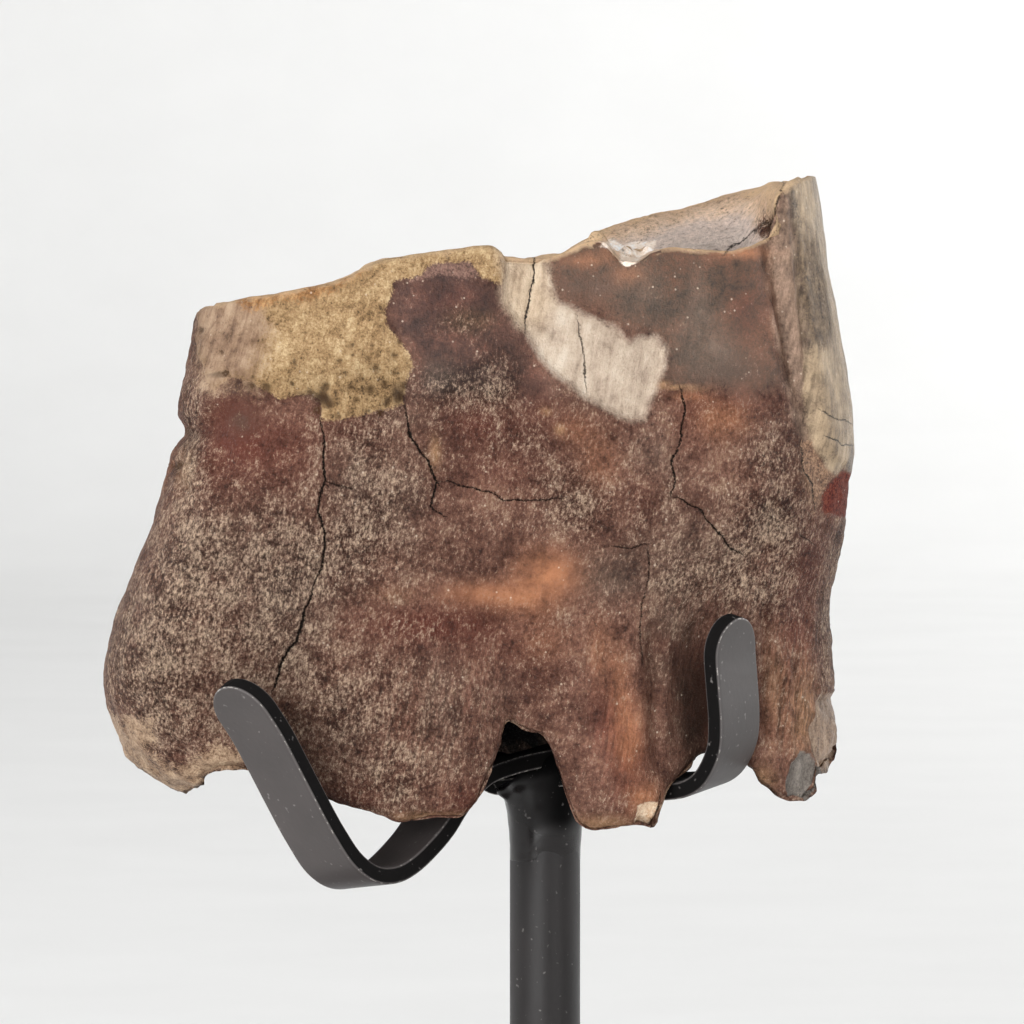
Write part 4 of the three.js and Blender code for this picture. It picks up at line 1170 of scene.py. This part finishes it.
def black_paint(name, settings):
    """Sprayed black paint on mild steel: dark grey where it faces the light, with a fine orange peel, and
    knocked off here and there along sharp edges, where bare steel shines. A lighter line along the rounded
    edges is worn paint and painted highlight. Where shade is painted it is near black and matt."""
    colours, gloss, sheen = PAINTS[name]
    material, tree, shader = new_material(name)
    place = add(tree, "TexCoord").outputs["Object"]
    signals = {key: add(tree, "Attribute", attribute_name=key).outputs["Fac"] for key in ("edge", "painted_shade")}
    # Orange peel, clouds in the paint, lint and chips: size in millimetres, layers and roughness.
    for key, size, detail, gain in [
        ("peel", 0.5, 2, 0.5), ("cloud", 6, 4, 0.6), ("lint", 0.55, 1, 0.5), ("chips", 0.45, 2, 0.6),
    ]:
        noise = {"Vector": place, "Scale": 1 / (size * MM), "Detail": detail, "Roughness": gain}
        signals[key] = add(tree, "TexNoise", noise)
    knocked = {0: signals["edge"], 1: signals["chips"]}
    signals["knocked"] = add(tree, "Math", knocked, operation="MULTIPLY")
    bare = spread(tree, signals, {"knocked": 1}, (0.57, 0.63), (0, settings.edge_wear))
    # Worn paint along every rounded edge, with a painted highlight there: a lighter line.
    rubbed_and_lit_edge = weighted_sum(tree, signals, {"edge": 0.5})
    lint = spread(tree, signals, {"lint": 1}, (0.7, 0.8), (0, 0.5))
    colour = add(tree, "ValToRGB", {"Fac": signals["cloud"]}, even_stops(colours, 0.3, 0.7))
    # Painted shade goes on first, then the worn, lighter edges, lint and bare steel.
    for share, coat in [(signals["painted_shade"], PAINTED_SHADE_BLACK), (rubbed_and_lit_edge, RUBBED_AND_LIT_EDGE), (lint, LINT), (bare, BARE_STEEL)]:
        colour = add(tree, "Mix", {0: share, 6: colour, 7: linear(coat)}, data_type="RGBA").outputs[2]
    rough = spread(tree, signals, {"cloud": 1}, (0.3, 0.7), gloss)
    rough = add(tree, "Mix", {0: signals["painted_shade"], 2: rough, 3: PAINTED_SHADE_ROUGHNESS})
    bump = add(tree, "Bump", {"Height": signals["peel"], "Strength": 0.25, "Distance": 0.05 * MM})
    shine = weighted_sum(tree, signals, {"painted_shade": PAINTED_SHADE_SHEEN - sheen}, sheen)
    looks = {"Base Color": colour, "Roughness": rough, "Normal": bump, "Specular IOR Level": shine}
    wire(tree, shader, {**looks, "Metallic": bare})
    return material


def seamless_paper(settings):
    """Matt studio paper: almost white, in faint clouds, with no shine to give the room away."""
    material, tree, shader = new_material("seamless_paper")
    place = add(tree, "TexCoord").outputs["Object"]
    pulp = add(tree, "TexNoise", {"Vector": place, "Scale": 1 / (40 * MM), "Detail": 3})
    shade = add(tree, "ValToRGB", {"Fac": pulp}, [(0.3, settings.paper), (0.7, settings.paper_light)])
    wire(tree, shader, {"Base Color": shade})
    shader.inputs["Roughness"].default_value = 0.9
    shader.inputs["Specular IOR Level"].default_value = 0.1
    return material


# ---- the stand -------------------------------------------------------------------------------------------


def path_along(line):
    """A smooth path through points: between two of them a cubic whose slopes come from its neighbours, with
    knots spaced by the square root of the distances. Returns its length, and its place at a length."""
    points = np.array(line, float)
    points = np.vstack([2 * points[0] - points[1], points, 2 * points[-1] - points[-2]])
    knot = np.sqrt(np.linalg.norm(np.diff(points, axis=0), axis=1))[:, None]
    before, here, after = knot[:-2], knot[1:-1], knot[2:]
    p0, p1, p2, p3 = points[:-3], points[1:-2], points[2:-1], points[3:]
    start = ((p1 - p0) / before - (p2 - p0) / (before + here) + (p2 - p1) / here) * here
    end = ((p2 - p1) / here - (p3 - p1) / (here + after) + (p3 - p2) / after) * here
    t = np.linspace(0, 1, PATH_STEPS, endpoint=False)[:, None, None]
    curve = p1 + t * start + t**2 * (3 * (p2 - p1) - 2 * start - end) + t**3 * (2 * (p1 - p2) + start + end)
    curve = np.vstack([curve.transpose(1, 0, 2).reshape(-1, 2), points[-2]])
    length = np.concatenate([[0], np.cumsum(np.linalg.norm(np.diff(curve, axis=0), axis=1))])

    def place(at):
        return np.stack([np.interp(at, length, curve[:, k]) for k in (0, 1)], -1)

    return length[-1], place


def stations_along_bar(length, half, straight_count):
    """Stations along a bar whose ends are half circles: how far along each one is, the bar's half width
    there, and how far the rounded tip's edge faces ahead."""
    turn = np.linspace(0, np.pi / 2, TIP_STATIONS + 1)[:-1]
    straight = np.linspace(half, length - half, straight_count)
    tip = half - half * np.cos(turn)
    along = np.concatenate([tip, straight, (length - tip)[::-1]])
    wide = np.concatenate([half * np.sin(turn), np.full(straight_count, half), (half * np.sin(turn))[::-1]])
    ahead = np.concatenate([-np.cos(turn), np.zeros(straight_count), np.cos(turn)[::-1]])
    return along[:, None], wide[:, None], ahead[:, None]


def bar_section():
    """The loop round a bar's section, as four rows: side, share of the way from the middle to the rounded
    edge, angle round the edge's quarter circle, and which of the two faces."""
    corner = np.linspace(0, np.pi / 2, EDGE_STATIONS)
    quarter = [(1, share, 0) for share in FACE_SHARES] + [(1, 1, angle) for angle in corner]
    right = [(*spot, 1) for spot in quarter] + [(*spot, -1) for spot in quarter[::-1]]
    return np.array(right + [(-1, *spot[1:]) for spot in right[-2:0:-1]]).T


def flat_bar(line, heading, settings):
    """A flat bar carried along a bent line, both ends cut to half circles. At each station the section is a
    rectangle whose edges are quarter circles. Across a tip the stations follow the half circle, so the
    rounded edge runs round it. Returns rings of points and the marks of wear and painted shade."""
    width, thickness, edge = in_mm(settings, "bar_width", "bar_thickness", "edge_radius")
    length, place = path_along(line)
    along, wide, ahead = stations_along_bar(length, width / 2, settings.bar_stations)
    side, share, angle, face = bar_section()
    inset = edge * (1 - np.sin(angle))
    height = face * (thickness / 2 - edge * (1 - np.cos(angle)))
    s = along - ahead * inset
    w = (wide - np.sqrt(1 - ahead**2) * inset) * side * share
    h = np.broadcast_to(height, s.shape)
    spot = place(s)
    tangent = place(s + TANGENT_REACH) - place(s - TANGENT_REACH)
    tangent /= np.linalg.norm(tangent, axis=-1, keepdims=True)
    reach = spot[..., 0] - tangent[..., 1] * h
    up = spot[..., 1] + tangent[..., 0] * h
    cos, sin = math.cos(heading), math.sin(heading)
    points = np.stack([reach * cos - w * sin, reach * sin + w * cos, up], -1)
    uneven = cube_noise(points, BAR_UNEVENNESS["size"], BAR_UNEVENNESS["seed"])
    points += BAR_UNEVENNESS["amount"] * uneven[..., None]
    # The tips' edges are knocked most. Shade is painted on the narrow sides and at the crossing, under the
    # tooth.
    on_edge, crossing = share == 1, bell(spot[..., 0] / CROSSING_REACH)
    knocked = BAR_WEAR["edge"] + BAR_WEAR["tip"] * ahead**2 + BAR_WEAR["crossing"] * crossing
    shaded_side_share = BAR_PAINTED_SHADE["side"] * np.sin(angle) ** 4 * on_edge
    marks = {
        "edge": np.abs(np.sin(angle * 2)) * on_edge * knocked,
        "painted_shade": np.maximum(shaded_side_share, BAR_PAINTED_SHADE["crossing"] * crossing),
    }
    return seat_to_world(points), marks


def revolved(profile, columns):
    """Rings of a profile of (radius, height) turned about Z."""
    turn = -2 * np.pi * np.arange(columns) / columns
    radius, height = np.array(profile, float).T[:, :, None]
    return np.stack(np.broadcast_arrays(radius * np.cos(turn), radius * np.sin(turn), height), -1)


def rod_profile(radius, low, high):
    """A straight round bar's radius and height, ring by ring: flat ends, sharp edges broken by short cones
    and a straight wall, its rings about a millimetre apart."""
    end, inner, cone = radius - ROD_BREAK, radius / 2, 2 * ROD_BREAK
    straight = [(radius, z) for z in np.linspace(low + cone, high - cone, ROD_RINGS)]
    return [(inner, low), (end, low), *straight, (end, high), (inner, high)]


def angle_bell(degrees, centre, half):
    """A bell round a direction, in degrees."""
    return bell(((degrees - centre + 180) % 360 - 180) / half)


def braze_points(post_radius, post_top):
    """The braze round the post's top: rings whose radius is the post's plus a sheath that thins downwards,
    bell-shaped lumps and noise, closing above and below inside the post. In front it rises between the two
    strips."""
    level = np.linspace(0, 1, BRAZE_RINGS)[:, None]
    turn = -2 * np.pi * np.arange(BRAZE_COLUMNS) / BRAZE_COLUMNS
    degrees = np.degrees(turn)
    high = post_top + BRAZE["above"] + BRAZE["rise"] * angle_bell(degrees, *BRAZE["rise_angle"])
    z = lerp(post_top - BRAZE["length"], high, level)
    sheath = BRAZE["sheath"] * smoothstep(level, *BRAZE_BLENDS["sheath"])
    lumps = sum(
        out * angle_bell(degrees, angle, wide) * bell((z - at) / tall)
        for angle, at, wide, tall, out in BRAZE_LUMPS
    )
    closing = np.sqrt(np.clip(1 - (2 * level - 1) ** BRAZE_CLOSING, 0, 1))
    closing = closing * smoothstep(level, *BRAZE_BLENDS["foot"])
    radius = lerp(post_radius - BRAZE["sunk"], post_radius + sheath + lumps, closing)
    points = np.stack([radius * np.cos(turn), radius * np.sin(turn), z], -1)
    outwards = np.stack([np.cos(turn), np.sin(turn), 0 * turn], -1)
    points += outwards * (layered_noise(points, BRAZE_RIPPLE, RIPPLE_SEED) * closing)[..., None]
    points[..., 2] += points[..., 0] * math.tan(LEAN) * smoothstep(level, *BRAZE_BLENDS["leaning"])
    return points


def painted_post_shade(points):
    """How much shade is painted on each point: the shadow of the tooth's right root in a patch in front, on
    the right, and the shade under the strips all round at the top.
    """
    degrees = np.degrees(np.arctan2(points[..., 1], points[..., 0]))
    patch = angle_bell(degrees, *POST_PAINTED_SHADE["angle"]) * smoothstep(points[..., 2], *POST_PAINTED_SHADE["heights"])
    return np.maximum(patch, smoothstep(points[..., 2], *POST_PAINTED_SHADE["top"]))


def plate_points(corner, edge, low, high):
    """The plate: a rounded rectangle carried up over quarter-round edges, closed by its middle below and
    above. Insets shrink the corner radius, and the flat faces shrink towards the middle. Returns rings of
    points and which rings lie on a rounded edge."""
    angle = -np.linspace(0, np.pi / 2, PER_CORNER) - np.arange(4)[:, None] * np.pi / 2
    way = np.stack([np.cos(angle), np.sin(angle)], -1).reshape(-1, 2)
    corners = np.array([(1, -1), (-1, -1), (-1, 1), (1, 1)])
    centre = np.repeat(corners, PER_CORNER, axis=0) * ((high - low)[:2] / 2 - corner)
    # Rows of (share of the full size, inset, height above the underside), mirrored for the upper half.
    rows = [(share, inset, 0) for share, inset in zip(FACE_RINGS, (corner, edge))]
    bend = np.linspace(0, np.pi / 2, BEND_STATIONS)
    rows += [(1, edge * (1 - math.sin(a)), edge * (1 - math.cos(a))) for a in bend]
    rows += [(shrink, inset, high[2] - low[2] - z) for shrink, inset, z in rows[::-1]]
    shrink, inset, z = np.array(rows).T[:, :, None]
    outline = (centre + way * (corner - np.minimum(inset, corner))[..., None]) * shrink[..., None]
    points = np.concatenate([outline, np.broadcast_to(low[2] + z, outline.shape[:2])[..., None]], -1)
    return points, (shrink == 1) & (inset > 0) & (inset < edge)


# ---- the stage -------------------------------------------------------------------------------------------


def paper_floor(settings):
    """A round floor that curves up into a wall: rings of a flat line and a quarter circle turned about Z."""
    flat, sweep = in_mm(settings, "floor_radius", "sweep")
    bend = np.linspace(0, np.pi / 2, FLOOR_BEND)
    profile = [(radius, 0) for radius in np.linspace(FLOOR_MIDDLE * flat, flat, FLOOR_RINGS)[:-1]]
    profile += [(flat + sweep * math.sin(angle), sweep * (1 - math.cos(angle))) for angle in bend]
    rings = revolved(profile, FLOOR_COLUMNS)
    count, columns = rings.shape[:2]
    points = np.concatenate([rings.reshape(-1, 3), [[0, 0, 0]]])
    middle = pole_faces(count * columns, 0, columns, False)
    faces = skin_faces(count, columns)[:, ::-1].tolist() + middle[:, ::-1].tolist()
    return add_piece("floor", points, faces, seamless_paper(settings), {})


def add_lamp(name, place, aim, size, power):
    """A round soft lamp, turned so that its -Z points at its aim. The camera doesn't see it."""
    light = bpy.data.lights.new(name, "AREA")
    light.shape = "DISK"
    light.size = size
    light.energy = power
    x, y, z = np.subtract(aim, place) / np.linalg.norm(np.subtract(aim, place))
    lamp = bpy.data.objects.new(name, light)
    lamp.location = place
    lamp.rotation_euler = (math.acos(-z), 0, math.atan2(y, x) - math.pi / 2)
    lamp.visible_camera = False
    bpy.context.scene.collection.objects.link(lamp)


def front_camera():
    """The camera of the front view. Its lens is long enough for the view's square frame to fill its own."""
    camera = bpy.data.cameras.new("front_view")
    camera.sensor_width = SENSOR_WIDTH
    camera.lens = SENSOR_WIDTH * VIEW["distance"] / (FRAME_STEPS * STEP_MM)
    camera.clip_start, camera.clip_end = 0.05, 20
    seen = bpy.data.objects.new("front_view", camera)
    seen.location = camera_place() * MM
    seen.rotation_euler = (math.pi / 2 - VIEW["elevation"], 0, 0)
    bpy.context.scene.collection.objects.link(seen)
    return seen


# ---- settings, operators and panel -----------------------------------------------------------------------


def count_setting(name, description, default, least):
    return bpy.props.IntProperty(name=name, description=description, default=default, min=least)


def length_setting(name, description, millimetres, least):
    """A length given in millimetres and kept in metres."""
    return bpy.props.FloatProperty(
        name=name, description=description, default=millimetres * MM, min=least * MM, unit="LENGTH"
    )


def colour_setting(name, description, hex_colour):
    """A colour given as an sRGB hex value and kept linear."""
    return bpy.props.FloatVectorProperty(
        name=name, description=description, default=linear(hex_colour), size=4, min=0, max=1, subtype="COLOR"
    )


class ToothSettings(bpy.types.PropertyGroup):
    """The tooth's mesh and its stains."""

    columns: count_setting("Columns", "Points round the tooth", 400, 60)
    wall_rings: count_setting("Wall rings", "Rings up the outer wall", 152, 20)
    crown_rings: count_setting("Crown rings", "Rings on the grinding face", 58, 8)
    vault_rings: count_setting("Vault rings", "Rings on the underside", 28, 6)
    front_density: bpy.props.FloatProperty(
        name="Front density", description="Columns along the front for one along the back", default=2.4, min=1
    )
    seed: count_setting("Seed", "Picks the lumps and frayed edges", 5, 0)
    weathered: colour_setting("Weathered", "Colour of the weathered grit", "#897464")
    red_stain: colour_setting("Red stain", "Colour of iron-red stains", "#5b2a22")
    # Also the colour of the highlight painted near the rim.
    orange_stain_and_glow: colour_setting("Orange stain", "Colour of clear orange spots", "#b07b5b")
    grey_stain: colour_setting("Grey stain", "Colour of grey-green films", "#736960")
    # Also the colour of the shade painted beside the strips.
    dark_stain_and_shade: colour_setting("Dark stain", "Colour of grey-brown stains", "#4d4139")
    bare_dentine: colour_setting("Bare dentine", "Colour of rubbed edges", "#c4a07a")
    flecks: colour_setting("Flecks", "Colour of pale cementum flecks", "#a9947f")
    # Also the colour of the shade painted in the pores between the grains.
    pore_dirt_and_shade: colour_setting("Pores", "Colour of dirt in the pores", "#2b1b14")


class StandSettings(bpy.types.PropertyGroup):
    """The stand's stock sizes and wear."""

    bar_width: length_setting("Bar width", "Width of the flat bar", 6.5, 1)
    bar_thickness: length_setting("Bar thickness", "Thickness of the flat bar", 1.5, 0.3)
    edge_radius: length_setting("Edge radius", "Rounding of the bar's edges", 0.2, 0.05)
    bar_stations: count_setting("Bar stations", "Sections along a bar", 220, 20)
    post_radius: length_setting("Post radius", "Radius of the round bar", 3.2, 0.5)
    plate_corner: length_setting("Plate corner", "Corner radius of the plate", 4, 0.5)
    plate_edge: length_setting("Plate edge", "Rounding of the plate's edges", 0.8, 0.1)
    edge_wear: bpy.props.FloatProperty(
        name="Edge wear", description="How bare the knocked edges are", default=0.8, min=0, max=1,
        subtype="FACTOR",
    )


class StageSettings(bpy.types.PropertyGroup):
    """The floor and the light from all round."""

    floor_radius: length_setting("Floor radius", "Radius of the flat floor", 1250, 500)
    sweep: length_setting("Sweep", "Radius of the curve up to the wall", 450, 100)
    paper: colour_setting("Paper", "Colour of the floor's darker clouds", "#f0f0ef")
    paper_light: colour_setting("Light paper", "Colour of the floor's lighter clouds", "#f3f3f2")
    sky: bpy.props.FloatProperty(
        name="Sky", description="Strength of the light from all round", default=0.22, min=0
    )


def finish_piece(piece, slot, *nodes):
    """Seats a finished piece on the part's one body and hides the solids it stands for."""
    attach(piece, "root")
    if nodes:
        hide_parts(*nodes)


class FOSSIL_OT_tooth(bpy.types.Operator):
    """Makes the fossil tooth"""

    bl_idname = "fossil.tooth"
    bl_label = "Fossil Tooth"

    def execute(self, context):
        settings = context.scene.fossil_tooth
        rings, normal, zone = tooth_skin(settings)
        marks, front = tooth_marks(rings, normal, zone, settings.seed)
        out = fine_relief(rings, marks, front, settings.seed + SEEDS["relief"])
        shaped = seat_to_world(rings + normal * out[..., None])
        piece = closed_piece("fossil_tooth", shaped, mineral_stained_tooth(settings), marks)
        finish_piece(piece, "fossil", "tooth")
        return {"FINISHED"}


class FOSSIL_OT_cradle(bpy.types.Operator):
    """Makes the two bent strips"""

    bl_idname = "fossil.cradle"
    bl_label = "Cradle Strips"

    def execute(self, context):
        settings = context.scene.fossil_stand
        paint = black_paint("satin_black_strip_paint", settings)
        for node, strip in STRIPS.items():
            points, marks = flat_bar(strip["line"], strip["heading"], settings)
            piece = closed_piece(f"{node}_bar", points, paint, marks)
            weld(piece)
            finish_piece(piece, "black_paint", node)
        return {"FINISHED"}


class FOSSIL_OT_post(bpy.types.Operator):
    """Makes the post and the braze at its top"""

    bl_idname = "fossil.post"
    bl_label = "Post and Braze"

    def execute(self, context):
        settings = context.scene.fossil_stand
        paint = black_paint("satin_black_post_paint", settings)
        glossy = black_paint("glossy_black_braze_paint", settings)
        (radius,) = in_mm(settings, "post_radius")
        low, high = (np.array(corner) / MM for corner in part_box("post"))
        rod = revolved(rod_profile(radius, low[2], high[2] - ROD_SHORT_OF_TOP), ROD_COLUMNS)
        rod = closed_piece("post_rod", rod, paint, {"painted_shade": painted_post_shade(rod)})
        finish_piece(rod, "black_paint", "post")
        braze = braze_points(radius, high[2])
        braze = closed_piece("post_braze", braze, glossy, {"painted_shade": painted_post_shade(braze)})
        finish_piece(braze, "black_paint")
        return {"FINISHED"}


class FOSSIL_OT_plate(bpy.types.Operator):
    """Makes the base plate"""

    bl_idname = "fossil.plate"
    bl_label = "Base Plate"

    def execute(self, context):
        settings = context.scene.fossil_stand
        paint = black_paint("satin_black_plate_paint", settings)
        low, high = (np.array(corner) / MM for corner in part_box("base_plate"))
        points, rounded = plate_points(*in_mm(settings, "plate_corner", "plate_edge"), low, high)
        edges = np.broadcast_to(rounded, points.shape[:2]).astype(float)
        finish_piece(closed_piece("steel_plate", points, paint, {"edge": edges}), "black_paint", "base_plate")
        return {"FINISHED"}


class FOSSIL_OT_stage(bpy.types.Operator):
    """Makes the floor, the lights and the camera"""

    bl_idname = "fossil.stage"
    bl_label = "Stage"

    def execute(self, context):
        settings = context.scene.fossil_stage
        paper_floor(settings)
        for lamp in LIGHTS:
            add_lamp(*lamp)
        world = bpy.data.worlds.new("soft_sky")
        world.use_nodes = True
        sky = world.node_tree.nodes["Background"].inputs
        sky["Color"].default_value = linear("#ffffff")
        sky["Strength"].default_value = settings.sky
        context.scene.world = world
        context.scene.camera = front_camera()
        context.scene.view_settings.view_transform = "Standard"
        return {"FINISHED"}


class FOSSIL_PT_parts(bpy.types.Panel):
    """Lists the pieces, the stage and their settings"""

    bl_label = "Fossil Tooth"
    bl_idname = "FOSSIL_PT_parts"
    bl_space_type = "VIEW_3D"
    bl_region_type = "UI"
    bl_category = "Fossil Tooth"

    def draw(self, context):
        for operator in OPERATORS:
            self.layout.operator(operator.bl_idname)
        for key, group in SETTINGS.items():
            box = self.layout.box()
            for name in group.__annotations__:
                box.prop(getattr(context.scene, key), name)


SETTINGS = {"fossil_tooth": ToothSettings, "fossil_stand": StandSettings, "fossil_stage": StageSettings}
OPERATORS = [FOSSIL_OT_tooth, FOSSIL_OT_cradle, FOSSIL_OT_post, FOSSIL_OT_plate, FOSSIL_OT_stage]


def register():
    for item in (*SETTINGS.values(), *OPERATORS, FOSSIL_PT_parts):
        bpy.utils.register_class(item)
    for key, group in SETTINGS.items():
        setattr(bpy.types.Scene, key, bpy.props.PointerProperty(type=group))


def unregister():
    for key in SETTINGS:
        delattr(bpy.types.Scene, key)
    for item in (FOSSIL_PT_parts, *reversed(OPERATORS), *SETTINGS.values()):
        bpy.utils.unregister_class(item)


def main():
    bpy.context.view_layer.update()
    register()
    for operator in OPERATORS:
        group, name = operator.bl_idname.split(".")
        getattr(getattr(bpy.ops, group), name)()


if __name__ == "__main__":
    main()
